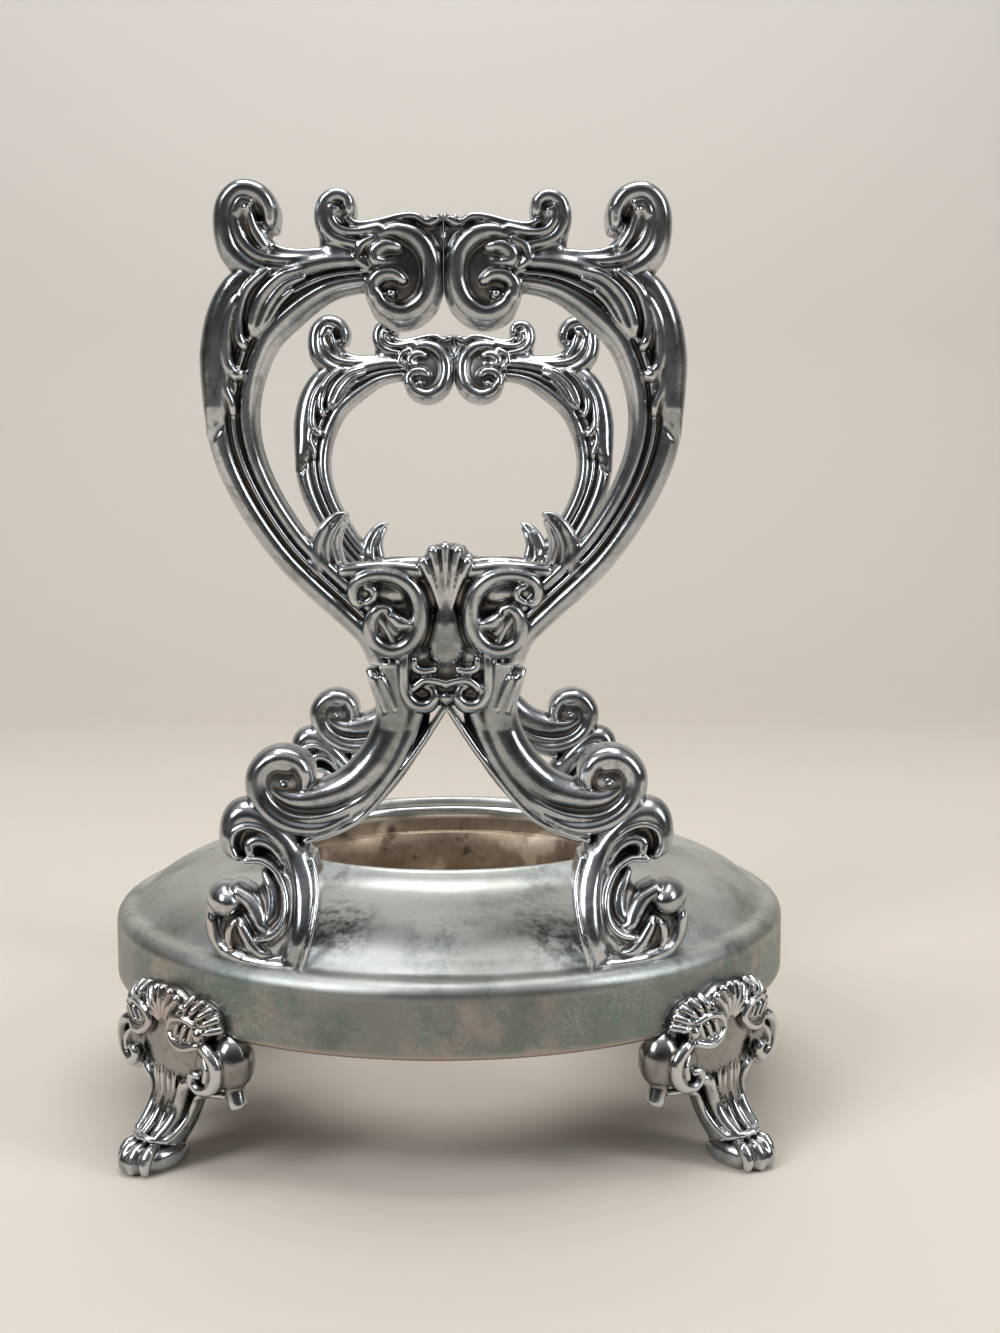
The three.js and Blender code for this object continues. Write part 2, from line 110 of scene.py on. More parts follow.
class Field:
    def __init__(self, low, high):
        self.low = np.array(low, float)
        self.count = np.ceil((np.array(high) - self.low) / VOXEL).astype(int) + 1
        self.axes = [self.low[i] + VOXEL * np.arange(self.count[i]) for i in range(3)]
        self.value = np.full(self.count, EMPTY, np.float32)

    def window(self, low, high):
        start = np.floor((np.array(low) - self.low) / VOXEL)
        stop = np.ceil((np.array(high) - self.low) / VOXEL) + 1
        ends = np.clip([start, stop], 0, self.count).astype(int)
        return tuple(slice(a, b) for a, b in zip(*ends))

    def grid(self, window=(slice(None),) * 3, centre=(0, 0, 0)):
        """Places in a window, seen from a centre, as open arrays for x, y and z."""
        return np.ix_(*[self.axes[i][window[i]] - centre[i] for i in range(3)])

    def merge(self, window, distance, blend):
        """Adds metal, with a fillet of about blend mm."""
        old = self.value[window]
        distance = distance.astype(np.float32)
        overlap = np.maximum(blend - np.abs(old - distance), 0) / blend
        self.value[window] = np.minimum(old, distance) - overlap * overlap * blend / 4

    def carve(self, window, distance, blend):
        """Takes metal away, with an edge rounded by about blend mm."""
        old = self.value[window]
        away = -distance.astype(np.float32)
        overlap = np.maximum(blend - np.abs(old - away), 0) / blend
        self.value[window] = np.maximum(old, away) + overlap * overlap * blend / 4

    def cut(self, past):
        """Takes all metal away where past is above 0."""
        self.value = np.maximum(self.value, past.astype(np.float32))


def smooth_line(points, spacing=0.4, axes=2):
    """Catmull-Rom line through rows of numbers, places first, with a point about every spacing mm."""
    points = np.array(points, float)
    padded = np.vstack([2 * points[0] - points[1], points, 2 * points[-1] - points[-2]])
    rows = []
    for i in range(len(points) - 1):
        a, b, c, d = padded[i:i + 4]
        steps = max(int(np.linalg.norm(c[:axes] - b[:axes]) / spacing), 2)
        for t in np.arange(steps) / steps:
            rows.append(0.5 * (2 * b + (c - a) * t + (2 * a - 5 * b + 4 * c - d) * t ** 2
                               + (3 * b - a - 3 * c + d) * t ** 3))
    rows.append(points[-1])
    return np.array(rows)


def directions(line):
    """Unit directions along a line of places in a plane."""
    along = np.gradient(line, axis=0)
    return along / np.linalg.norm(along, axis=1)[:, None]


def mirrored(points, side):
    """The points with x turned round where side is -1, and as they are where it is 1."""
    return [[side * point[0], *point[1:]] for point in points]


# Forms of a flat casting. Each point of a stroke is x, z and half width. The metal stands as far in front of
# the middle plane as behind it, and a slim part of a stroke stands less far than a wide one.

THINNEST = 0.15
WIDE_SHARE = 0.7
SLIM_DEPTH = 0.55
WIDE_DEPTH = 0.45

# Added to a squared length that is divided by

TINY = 1e-9


def stroke(field, points, depth, blend, taper=1.8):
    """A bar along a line in the XZ plane, depth mm thick on each side of the middle plane. Its rounded top is
    taper times as high as it is half wide."""
    line = smooth_line(points)
    line[:, 2] = np.maximum(line[:, 2], THINNEST)
    widest = line[:, 2].max()
    low_x, low_z = line[:, :2].min(0) - widest - MARGIN
    high_x, high_z = line[:, :2].max(0) + widest + MARGIN
    window = field.window([low_x, -depth - MARGIN, low_z], [high_x, depth + MARGIN, high_z])
    xs, ys, zs = [axis[part] for axis, part in zip(field.axes, window)]
    nearest = np.full((len(xs), len(zs)), FAR)
    width = np.ones((len(xs), len(zs)))
    for (x0, z0, w0), (x1, z1, w1) in zip(line[:-1], line[1:]):
        near = max(w0, w1) + MARGIN
        ix = slice(*np.searchsorted(xs, [min(x0, x1) - near, max(x0, x1) + near]))
        iz = slice(*np.searchsorted(zs, [min(z0, z1) - near, max(z0, z1) + near]))
        gx = xs[ix][:, None]
        gz = zs[iz][None, :]
        dx, dz = x1 - x0, z1 - z0
        length2 = dx * dx + dz * dz + TINY
        t = np.clip(((gx - x0) * dx + (gz - z0) * dz) / length2, 0, 1)
        w = w0 + (w1 - w0) * t
        d = np.hypot(gx - x0 - t * dx, gz - z0 - t * dz)
        closer = d - w < nearest[ix, iz] - width[ix, iz]
        nearest[ix, iz] = np.where(closer, d, nearest[ix, iz])
        width[ix, iz] = np.where(closer, w, width[ix, iz])
    across = box_blur(np.minimum(nearest / width, 1 + MARGIN / width), 1)
    standing_depth = depth * (SLIM_DEPTH + WIDE_DEPTH * np.minimum(width / (WIDE_SHARE * widest), 1))
    standing_depth = box_blur(standing_depth, 1)
    cap = np.minimum(standing_depth, taper * width)
    above = np.maximum(np.abs(ys)[None, :, None] - (standing_depth - cap)[:, None, :], 0)
    share = np.hypot(across[:, None, :], above / cap[:, None, :])
    field.merge(window, width[:, None, :] * (share - 1), blend)


def ball(field, x, z, rx, depth, rz, blend):
    """An ellipsoid standing on both faces of a flat casting."""
    reach = max(rx, rz) + MARGIN
    window = field.window([x - reach, -depth - MARGIN, z - reach], [x + reach, depth + MARGIN, z + reach])
    gx, gy, gz = field.grid(window, (x, 0, z))
    share = np.sqrt((gx / rx) ** 2 + (gy / depth) ** 2 + (gz / rz) ** 2)
    field.merge(window, min(rx, rz) * (share - 1), blend)


def groove(field, points, face, size, blend):
    """A fine cut line on both faces, where the faces stand about face mm from the middle plane."""
    for x, z in smooth_line(points, spacing=0.6):
        for y in (-face, face):
            centre = np.array([x, y, z])
            window = field.window(centre - size - MARGIN, centre + size + MARGIN)
            gx, gy, gz = field.grid(window, centre)
            field.carve(window, np.sqrt(gx ** 2 + gy ** 2 + gz ** 2) - size, blend)


# Surface of a field as a mesh: one vertex in each voxel that the surface crosses

CORNERS = [(0, 0, 0), (1, 0, 0), (0, 1, 0), (1, 1, 0), (0, 0, 1), (1, 0, 1), (0, 1, 1), (1, 1, 1)]
EDGES = [(0, 1), (2, 3), (4, 5), (6, 7), (0, 2), (1, 3), (4, 6), (5, 7), (0, 4), (1, 5), (2, 6), (3, 7)]


def surface_net(field):
    value = field.value
    inside = value < 0
    cells = np.array(value.shape) - 1
    filled = np.zeros(cells, np.int8)
    for dx, dy, dz in CORNERS:
        filled += inside[dx:dx + cells[0], dy:dy + cells[1], dz:dz + cells[2]]
    active = (filled > 0) & (filled < 8)
    spots = np.argwhere(active)
    number = np.full(cells, -1, np.int64)
    number[active] = np.arange(len(spots))
    corner = np.stack([value[tuple((spots + step).T)] for step in CORNERS], 1)
    total = np.zeros((len(spots), 3))
    hits = np.zeros(len(spots))
    place = np.array(CORNERS, float)
    for a, b in EDGES:
        va, vb = corner[:, a], corner[:, b]
        crossed = (va < 0) != (vb < 0)
        share = np.where(crossed, va / np.where(crossed, va - vb, 1), 0)
        point = place[a] + share[:, None] * (place[b] - place[a])
        total += np.where(crossed[:, None], point, 0)
        hits += crossed
    vertices = field.low + VOXEL * (spots + total / hits[:, None])
    faces = []
    for axis in range(3):
        other = [i for i in range(3) if i != axis]
        front = [slice(1, -1)] * 3
        back = [slice(1, -1)] * 3
        front[axis] = slice(0, -1)
        back[axis] = slice(1, None)
        start_in = inside[tuple(front)]
        crossed = start_in != inside[tuple(back)]
        flip = start_in[crossed]
        step_a, step_b = np.eye(3, dtype=int)[other]
        spot = np.argwhere(crossed) + step_a + step_b
        ring = [spot - step_a - step_b, spot - step_b, spot, spot - step_a]
        quad = np.stack([number[tuple(r.T)] for r in ring], 1)
        turned = flip if axis != 1 else ~flip
        quad[~turned] = quad[~turned][:, ::-1]
        faces.append(quad)
    return vertices, np.vstack(faces)


def relaxed(vertices, faces, rounds=2, inwards=0.5, outwards=-0.52):
    """Light smoothing that keeps the volume: each round moves points in and then out again."""
    pairs = np.vstack([faces[:, [0, 1]], faces[:, [1, 2]], faces[:, [2, 3]], faces[:, [3, 0]]])
    count = np.bincount(pairs[:, 0], minlength=len(vertices)).astype(float)[:, None]
    for _ in range(rounds):
        for share in (inwards, outwards):
            total = np.stack([np.bincount(pairs[:, 0], vertices[pairs[:, 1], i], len(vertices))
                              for i in range(3)], 1)
            vertices = vertices + share * (total / np.maximum(count, 1) - vertices)
    return vertices


def box_blur(value, size):
    """Mean over size grid places to each side, along every axis."""
    for axis in range(value.ndim):
        padded = np.concatenate([np.repeat(value.take([0], axis), size + 1, axis), value,
                                 np.repeat(value.take([-1], axis), size, axis)], axis)
        total = np.cumsum(padded, axis)
        length = value.shape[axis]
        value = (total.take(range(2 * size + 1, 2 * size + 1 + length), axis)
                 - total.take(range(length), axis)) / (2 * size + 1)
    return value


def hollowness(field, vertices, reach=1.2):
    """How far each vertex lies in a hollow, from 0 on bulges to 1 in the deepest grooves."""
    size = max(int(reach / VOXEL), 1)
    soft = box_blur(np.clip(field.value, -reach, reach), size)
    spot = np.clip((vertices - field.low) / VOXEL, 0, field.count - 1.001)
    cell = spot.astype(int)
    part = spot - cell
    bend = np.zeros(len(vertices))
    for step in CORNERS:
        share = np.prod(np.where(step, part, 1 - part), 1)
        bend += share * soft[tuple((cell + step).T)]
    return np.clip(0.5 - bend / (0.5 * reach), 0, 1)


def make_mesh(name, vertices, faces, hollow=None):
    mesh = bpy.data.meshes.new(name)
    mesh.vertices.add(len(vertices))
    mesh.vertices.foreach_set("co", (vertices * MM).astype(np.float32).ravel())
    mesh.loops.add(faces.size)
    mesh.loops.foreach_set("vertex_index", faces.astype(np.int32).ravel())
    mesh.polygons.add(len(faces))
    sides = faces.shape[1]
    mesh.polygons.foreach_set("loop_start", np.arange(0, faces.size, sides, dtype=np.int32))
    mesh.update(calc_edges=True)
    mesh.polygons.foreach_set("use_smooth", np.ones(len(faces), bool))
    if hollow is not None:
        attribute = mesh.attributes.new("hollow", "FLOAT", "POINT")
        attribute.data.foreach_set("value", hollow.astype(np.float32))
    mesh.validate()
    return mesh


def cast(field):
    """Mesh of a field with the hollowness of its vertices."""
    vertices, faces = surface_net(field)
    vertices = relaxed(vertices, faces)
    return vertices, faces, hollowness(field, vertices)


def new_object(name, data):
    thing = bpy.data.objects.new(name, data)
    bpy.context.scene.collection.objects.link(thing)
    return thing


def add_piece(name, node, material, vertices, faces, hollow=None):
    mesh = make_mesh(name, vertices, faces, hollow)
    mesh.materials.append(material)
    piece = new_object(name, mesh)
    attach(piece, "root")
    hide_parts(node)


# Spun base and liner


def base_line():
    """Outer line as radius and height, from the foot of the wall over the dome to the rim of the collar."""
    points = [[BASE_RADIUS - 0.25, BASE_BOTTOM + 0.1], [BASE_RADIUS, BASE_BOTTOM + 0.6]]
    points += [[BASE_RADIUS, z] for z in np.linspace(BASE_BOTTOM + 2, SHOULDER_Z - 0.4, 7)]
    for angle in np.radians(np.linspace(8, 82, 9)):
        points.append([BASE_RADIUS - SHOULDER_ROLL * (1 - math.cos(angle)),
                       SHOULDER_Z + SHOULDER_ROLL * math.sin(angle)])
    shoulder = points[-1]
    dome_top = RIM_Z - COLLAR_RISE
    reach = shoulder[0] - COLLAR_RADIUS
    rise = dome_top - shoulder[1]
    dome_shares = [(0.03, 0.0), (0.055, 0.01), (0.08, 0.06), (0.12, 0.2), (0.17, 0.35), (0.24, 0.5),
                   (0.33, 0.655), (0.43, 0.78), (0.54, 0.875), (0.65, 0.945), (0.76, 0.99)]
    points += [[shoulder[0] - s * reach, shoulder[1] + h * rise] for s, h in dome_shares]
    collar_steps = [(6, 0.06), (4, 0.2), (2.4, 0.42), (1.3, 0.66), (0.6, 0.86), (0.1, 0.96),
                    (-COLLAR_ROUND, 1.0)]
    points += [[COLLAR_RADIUS + d, dome_top + h * COLLAR_RISE] for d, h in collar_steps]
    return np.array(points)


def base_top_at(radius):
    """Height of the base's top at a distance from its middle."""
    line = base_line()
    upper = line[line[:, 1] > SHOULDER_Z][::-1]
    return np.interp(radius, upper[:, 0], upper[:, 1])


def lathe(profile, segments):
    """A ring-shaped mesh from a closed profile of radius and height."""
    angle = 2 * np.pi * np.arange(segments) / segments
    ring = len(profile)
    x = np.outer(np.sin(angle), profile[:, 0])
    y = np.outer(-np.cos(angle), profile[:, 0])
    z = np.outer(np.ones(segments), profile[:, 1])
    vertices = np.stack([x, y, z], 2).reshape(-1, 3)
    i = np.arange(segments)[:, None] * ring
    j = np.arange(ring)[None, :]
    k = (j + 1) % ring
    across = (i + ring) % (segments * ring)
    faces = np.stack([across + j, across + k, i + k, i + j], 2).reshape(-1, 4)
    return vertices, faces


def spun_base(material):
    """One sheet of even thickness with a folded rim and shallow dents in the dome."""
    outer = base_line()
    along = directions(outer)
    inner = outer + SHEET * np.stack([-along[:, 1], along[:, 0]], 1)
    bore = COLLAR_RADIUS - COLLAR_ROUND - SHEET
    fold = [[bore + 0.4, RIM_Z - 0.25], [bore, RIM_Z - 0.9], [bore, RIM_Z - COLLAR_HEM],
            [bore + SHEET, RIM_Z - COLLAR_HEM]]
    vertices, faces = lathe(np.vstack([outer, fold, inner[:-1][::-1]]), BASE_SEGMENTS)
    radius = np.hypot(vertices[:, 0], vertices[:, 1])
    angle = np.arctan2(vertices[:, 1], vertices[:, 0])
    waves = ((0.10, 3, 0.6), (0.07, 7, 2), (0.05, 13, 0))
    dent = sum(size * np.sin(count * angle + start) for size, count, start in waves)
    from_shoulder, from_collar, fade = 2, 3, 6
    inside_shoulder = np.clip((BASE_RADIUS - from_shoulder - radius) / fade, 0, 1)
    outside_collar = np.clip((radius - COLLAR_RADIUS - from_collar) / fade, 0, 1)
    vertices[:, 2] += dent * (inside_shoulder * outside_collar)
    add_piece("base_shell_sheet", "base_shell", material, vertices, faces)


def burner_liner(material):
    """Lipped ring with the ledge that the burner hangs on."""
    bore = RING_OUTSIDE - LINER_WALL
    lower = bore - LEDGE_WIDTH
    outside = lower + LINER_WALL
    ledge = RING_TOP - LEDGE_DEPTH
    profile = np.array([
        [RING_OUTSIDE, RING_TOP - 0.9], [RING_OUTSIDE - 0.15, RING_TOP - 0.35],
        [RING_OUTSIDE - 0.5, RING_TOP], [RING_OUTSIDE - 0.9, RING_TOP - 0.1],
        [bore + 0.15, RING_TOP - 0.7], [bore - 0.05, RING_TOP - 1.5], [bore, RING_TOP - 2.4],
        [bore, RING_TOP - 3.4], [bore, ledge + 0.3], [bore - 0.1, ledge + 0.02],
        [lower + 0.35, ledge - 0.03], [lower, ledge - 0.4], [lower, ledge - 6], [lower, RING_FOOT + 0.3],
        [lower + 0.3, RING_FOOT], [outside, RING_FOOT], [outside, ledge - 2.2],
        [RING_OUTSIDE, ledge - 1.4],
    ])
    vertices, faces = lathe(profile, LINER_SEGMENTS)
    add_piece("burner_ring_liner", "burner_ring", material, vertices, faces)


# Castings of one frame, right half, drawn flat


def middle_at(x, z):
    """Distance of the middle plane of a frame from the middle of the base."""
    straight = FRAME_MIDDLE + LEAN_SLOPE * np.maximum(z - LEAN_START, 0)
    bent = SCROLL_FOOT_OUT - SCROLL_BEND_RADIUS + np.sqrt(SCROLL_BEND_RADIUS ** 2 - x ** 2)
    share = np.clip((z - SCROLL_BEND_BOTTOM) / (SCROLL_BEND_TOP - SCROLL_BEND_BOTTOM), 0, 1)
    share = share * share * (3 - 2 * share)
    return bent + (straight - bent) * share


def yoke_field():
    field = Field([-1, -9, 107], [50, 9, 206])
    yoke_tube(field)
    yoke_curls(field)
    yoke_crest(field)
    yoke_leaf(field)
    yoke_horn(field)
    x, _, z = field.grid()
    field.cut(SEAM - x)
    field.cut(WAIST_SEAM - z)
    return field


def beside(points, share, width_share):
    """The same line moved towards its right-hand side by a share of its half width, and made narrower."""
    line = smooth_line(points, spacing=2.5)
    along = directions(line[:, :2])
    shift = share * line[:, 2]
    return np.stack([line[:, 0] + shift * along[:, 1], line[:, 1] - shift * along[:, 0],
                     width_share * line[:, 2]], 1)


def yoke_tube(field):
    loop = [
        [10, 187.4, 3.2], [15, 187.4, 3.5], [23, 186.4, 4.4], [31.3, 182.8, 6.2], [37.8, 176.6, 6.2],
        [41.4, 168.5, 5.9], [42.7, 160.5, 5.6], [41.9, 153, 5.3], [39.4, 146, 5], [35.6, 139, 4.8],
        [30.9, 132.4, 4.7], [25.3, 126.6, 4.7], [19.6, 121.2, 4.6], [14.5, 115.5, 4.4], [11.8, 108, 4],
    ]
    stroke(field, loop, 3.4, 0.6)
    stroke(field, beside(loop, -0.46, 0.50), 5.2, 0.3)
    stroke(field, beside(loop, 0.13, 0.11), 4.8, 0.3)
    stroke(field, beside(loop, 0.58, 0.38), 4.7, 0.25)


def yoke_curls(field):
    stroke(field, [[33, 186, 3.6], [38, 189.5, 4.2], [39.4, 194, 4.2], [38.3, 198.5, 3.8]], 4.4, 0.8)
    stroke(field, [[33.2, 196.0, 1.4], [33.5, 198.9, 1.9], [35.6, 201.2, 2.2], [38.9, 201.6, 2.4],
                   [41.5, 199.2, 2.5], [42.1, 195, 2.5], [40.9, 190.6, 2.6], [37.4, 187.6, 2.4],
                   [33, 186.8, 1.6], [28, 187.2, 0.8]], 5.4, 0.4)
    stroke(field, [[39.4, 198.9, 1.2], [40, 196.2, 1.4], [38.8, 192.6, 1.6], [36, 190, 1.6],
                   [31.5, 189.0, 1.2], [26, 189.2, 0.8]], 5.0, 0.3)
    stroke(field, [[36.9, 199.4, 1.0], [38.6, 199.6, 1.2], [39.6, 197.6, 1.2]], 5.3, 0.3)
    ball(field, 37.6, 198.2, 1.5, 5.5, 1.4, 0.4)
    stroke(field, [[37.2, 197.6, 1.0], [36.2, 194.2, 1.3], [34.4, 191.4, 1.1]], 4.9, 0.3)
    stroke(field, [[35.0, 195.6, 0.9], [34.2, 192.8, 1.1], [31.9, 191.0, 1.1], [28, 190.4, 1.2],
                   [22.5, 190.6, 1.2], [16, 190.6, 1.0]], 3.6, 0.8)
    stroke(field, [[20.6, 189.5, 3.0], [21.2, 195, 3.2], [20.6, 198, 3.0]], 4.0, 0.8)
    stroke(field, [[18.0, 198.0, 1.1], [18.3, 200.0, 1.4], [20.4, 200.9, 1.6], [22.7, 199.6, 1.7],
                   [23.2, 196.3, 1.7], [21.6, 193.5, 1.6], [18.6, 192.3, 1.3], [15, 191.9, 1.0]], 4.8, 0.35)
    stroke(field, [[21.4, 198.6, 1.0], [21.4, 196.4, 1.1], [19.8, 194.6, 1.1], [16.5, 194.2, 1.0],
                   [12.5, 194.9, 1.0]], 4.9, 0.3)
    stroke(field, [[18.6, 196.6, 0.8], [16.4, 195.6, 0.9], [12.5, 196.0, 1.1], [8.5, 197.0, 1.0],
                   [5.5, 197.2, 0.9], [3.2, 196.0, 0.9], [1.4, 196.6, 1.0]], 4.0, 0.4)
    ball(field, 20.3, 198.2, 1.2, 5.0, 1.2, 0.4)
    ball(field, 0, 197.1, 1.5, 4.9, 1.1, 0.3)
    ball(field, 2.4, 197.1, 0.9, 4.4, 0.7, 0.3)


def yoke_crest(field):
    ball(field, 8, 186.0, 7.2, 4.3, 9.0, 0.8)
    stroke(field, [[0, 192.6, 3.6], [5, 194.4, 2.2], [12, 193.2, 2.4]], 2.8, 0.8)
    stroke(field, [[13.6, 193.4, 1.2], [9.6, 194.4, 1.9], [5.6, 193.4, 2.5], [2.9, 190.2, 2.8],
                   [2.5, 185.6, 2.8], [4.2, 181.3, 2.9], [7.9, 179.2, 2.8], [11.6, 180.4, 2.5],
                   [13.4, 183.2, 1.8]], 5.6, 0.5)
    stroke(field, [[13.7, 182.4, 1.5], [13.8, 184.6, 1.7], [12.2, 186.2, 1.8], [9.6, 186.4, 1.6],
                   [7.8, 185.2, 1.1]], 5.7, 0.3)
    ball(field, 10.2, 182.8, 1.9, 5.7, 1.5, 0.2)
    stroke(field, [[8.8, 191.4, 1.1], [11.2, 191.6, 1.8], [13.2, 190.4, 1.9], [13.2, 188.9, 1.5],
                   [11.6, 188.6, 0.9]], 5.8, 0.3)
    stroke(field, [[13.4, 192.9, 1.0], [15.8, 191.6, 1.3], [16.4, 189.2, 1.1], [14.6, 187.6, 0.8]], 5.2, 0.3)


def yoke_leaf(field):
    stroke(field, [[36, 187.6, 1.2], [40.3, 184.1, 2.8], [43.1, 178.5, 3.7], [44.4, 171.5, 4.1],
                   [44.7, 164.5, 3.7], [45.6, 159.2, 2.2], [46.8, 155.6, 0.8]], 6.0, 0.2, taper=1.3)
    groove(field, [[41.2, 162.6], [42.6, 159.4], [44.8, 156.8], [47.2, 153.8]], 5.1, 0.5, 0.4)
    stroke(field, [[27, 187.2, 0.7], [31.5, 185.6, 1.1], [35.2, 182.2, 1.4], [37.2, 178, 1.2],
                   [37.5, 175.2, 0.7]], 6.3, 0.2)
    stroke(field, [[27, 185.8, 0.6], [31, 184, 1.0], [34, 180.6, 1.1], [36, 176.6, 0.8],
                   [37.2, 174.8, 0.5]], 5.9, 0.2)
    stroke(field, [[29.5, 183.2, 0.6], [32, 181, 0.8], [34.2, 177.8, 0.7], [36.6, 174.9, 0.5]], 5.5, 0.2)
    stroke(field, [[34, 187, 0.8], [38, 183.4, 1.3], [39.8, 179, 1.4], [40.1, 175.2, 1.3],
                   [39.2, 172.9, 1.0]], 6.4, 0.2)
    ball(field, 39.5, 173.4, 1.5, 6.5, 1.2, 0.25)
    stroke(field, [[39.6, 182.4, 0.8], [41.8, 178, 1.3], [42.6, 173, 1.4], [42.4, 169.6, 1.3],
                   [40.9, 167.2, 1.2], [39.9, 167.8, 0.8]], 6.6, 0.2)
    ball(field, 41.4, 168.4, 1.6, 6.7, 1.4, 0.25)
    stroke(field, [[42.7, 170, 0.8], [43.2, 165.4, 1.1], [42.0, 162, 0.9], [41.8, 160, 0.6]], 6.2, 0.2)


def yoke_horn(field):
    stroke(field, [[26.6, 129, 1.9], [26.2, 133.6, 1.7], [24.6, 137.4, 1.3], [22.2, 139.9, 0.8],
                   [20.2, 140.4, 0.5]], 4.8, 0.3)
    stroke(field, [[24.4, 130, 1.2], [24.4, 133.8, 1.2], [23.0, 137.2, 0.9], [21, 139.8, 0.5]], 4.6, 0.25)
    stroke(field, [[22, 130.5, 1.2], [22.6, 133.6, 1.1], [21.9, 136.6, 0.8], [20.6, 139.0, 0.5]], 3.9, 0.3)


def arm_field():
    field = Field([-1, -9, 68], [46, 9, 111])
    web = [
        [8.6, 104.5, 5], [8.7, 98.5, 5.2], [10.9, 91.6, 5.2], [14.6, 85.8, 4.9], [18.9, 81.6, 4.8],
        [24.6, 78.2, 4.9], [31, 77.4, 4.9], [36, 80.6, 4.4],
    ]
    stroke(field, web, 3.6, 0.6)
    stroke(field, [[5.8, 99.6, 2.2], [8.6, 93.0, 2.8], [12.2, 86.4, 3.0], [16.6, 80.8, 3.0],
                   [21.4, 77.2, 2.9], [26.4, 75.0, 2.6], [31, 73.8, 2.2], [35, 74.8, 1.6]], 4.5, 0.7)
    ball(field, 35.4, 84.4, 5.6, 4.3, 5.2, 0.8)
    stroke(field, [[11.8, 110, 3.6], [11.2, 103, 4.1], [10.9, 97.2, 4.4], [13.2, 91.0, 4.4],
                   [16.8, 86.1, 4.3], [21.6, 82.3, 4.0], [28, 80.4, 3.4], [33.2, 80.3, 2.6],
                   [36.6, 82.2, 1.9], [37.0, 84.8, 1.5], [35.2, 85.8, 1.2], [33.6, 84.8, 1.0]], 5.2, 0.4)
    ball(field, 34.6, 83.6, 1.3, 5.5, 1.2, 0.3)
    stroke(field, [[0.4, 99.6, 0.7], [3.1, 95.4, 0.8], [6.6, 90.2, 0.85], [10.6, 84.9, 0.85],
                   [14.6, 79.9, 0.85], [18.1, 76.4, 0.85], [21.4, 74.3, 0.85], [26, 72.4, 0.85],
                   [30.2, 71.2, 0.8]], 4.2, 0.35)
    stroke(field, [[18, 80.2, 0.6], [24, 77.0, 1.1], [30, 76.0, 1.3], [34.8, 77.2, 1.3], [38.1, 80.4, 1.3],
                   [38.9, 84.4, 1.2], [36.8, 87.0, 1.1], [33.4, 87.0, 1.0]], 5.0, 0.35)
    stroke(field, [[30.2, 82.4, 1.0], [29.9, 85.2, 1.8], [31.4, 87.9, 2.4], [34.8, 89.0, 2.8],
                   [38.2, 87.8, 2.9], [40.3, 84.6, 2.8], [39.9, 80.2, 2.6], [37, 76.6, 2.4],
                   [32.6, 74.4, 2.2], [27, 74.0, 1.8], [21, 76.4, 1.2]], 5.6, 0.35)
    stroke(field, [[12.6, 99.5, 1.7], [14.2, 104, 1.7], [15.7, 107, 1.0], [16.5, 107.9, 0.5]], 5.5, 0.3)
    stroke(field, [[10.8, 99.5, 1.0], [12.3, 103.5, 1.2], [13.6, 106.4, 0.8]], 5.8, 0.3)
    x, _, z = field.grid()
    field.cut(SEAM - x)
    field.cut(z - WAIST_SEAM - LAP)
    return field


def scroll_field():
    field = Field([24, -9, 41], [55, 9, 83])
    scroll_body(field)
    scroll_curl(field)
    scroll_leaf(field)
    x, y, z = field.grid()
    radius = np.hypot(x, middle_at(x, z) - y)
    field.cut(base_top_at(radius) - SUNK - z)
    return field


def scroll_body(field):
    stroke(field, [[33.4, 43, 3.6], [32, 52, 4.2], [31.5, 60, 4], [33, 67, 4], [38, 73, 4.6]], 3.0, 0.5)
    stroke(field, [[36.4, 63, 2.6], [37.8, 57, 4.4], [41.6, 51.5, 7.0], [42.4, 47, 7.4]], 3.2, 0.5)
    stroke(field, [[35.5, 53, 3.2], [36.6, 46, 4.4]], 3.6, 0.5)
    ball(field, 45.8, 51.8, 5.6, 4.2, 5.6, 0.6)
    ball(field, 38.4, 49.6, 4.6, 4.4, 4.0, 0.6)
    stroke(field, [[33.2, 42, 2.7], [31.6, 50, 2.8], [30.6, 57, 2.8], [30.9, 63, 2.8], [33, 68.6, 3.0],
                   [36.8, 73.2, 3.2], [40.8, 76.4, 3.5], [44.2, 76.3, 3.6], [46, 73.2, 2.9],
                   [46.2, 69.8, 2.0], [44.6, 67.8, 1.2]], 5.4, 0.35)
    stroke(field, [[33.2, 43, 2.9], [31.2, 50, 2.8], [29.6, 57, 2.8], [29.6, 63, 2.7], [31.2, 68.0, 2.6]],
           4.9, 0.6)
    stroke(field, [[34.0, 66, 1.5], [33.2, 60, 1.6], [33.6, 54, 1.8], [36, 49.5, 2.4]], 4.3, 0.5)
    stroke(field, [[31.4, 42, 0.6], [29.0, 50, 0.55], [27.5, 57, 0.5], [27.3, 63, 0.5], [28.8, 68.0, 0.5]],
           5.1, 0.3)
    stroke(field, [[32.6, 46.0, 2.4], [38, 45.8, 2.4], [44, 46.2, 2.6], [47.6, 47.4, 2.8]], 5.3, 0.6)


def scroll_curl(field):
    ball(field, 42.4, 72.2, 4.4, 3.2, 4.4, 0.6)
    stroke(field, [[34.8, 70.6, 0.5], [38.2, 73.6, 0.7], [41.8, 74.8, 0.8], [44.9, 73.6, 0.9],
                   [45.8, 70.6, 0.9], [44.8, 68.2, 0.8]], 5.8, 0.25)
    stroke(field, [[42.8, 67.3, 0.9], [39.4, 67.3, 0.9], [36.2, 65.2, 0.8], [34.2, 61.4, 0.8],
                   [33.8, 57.6, 0.8], [34.7, 54.4, 0.9], [36.9, 52.2, 1.0], [39.8, 51.2, 0.9]], 5.2, 0.3)
    stroke(field, [[34.8, 66.8, 0.8], [36.6, 69.9, 1.4], [39.4, 71.4, 1.7], [41.8, 70.8, 1.7],
                   [41.9, 68.9, 1.2]], 5.2, 0.3)


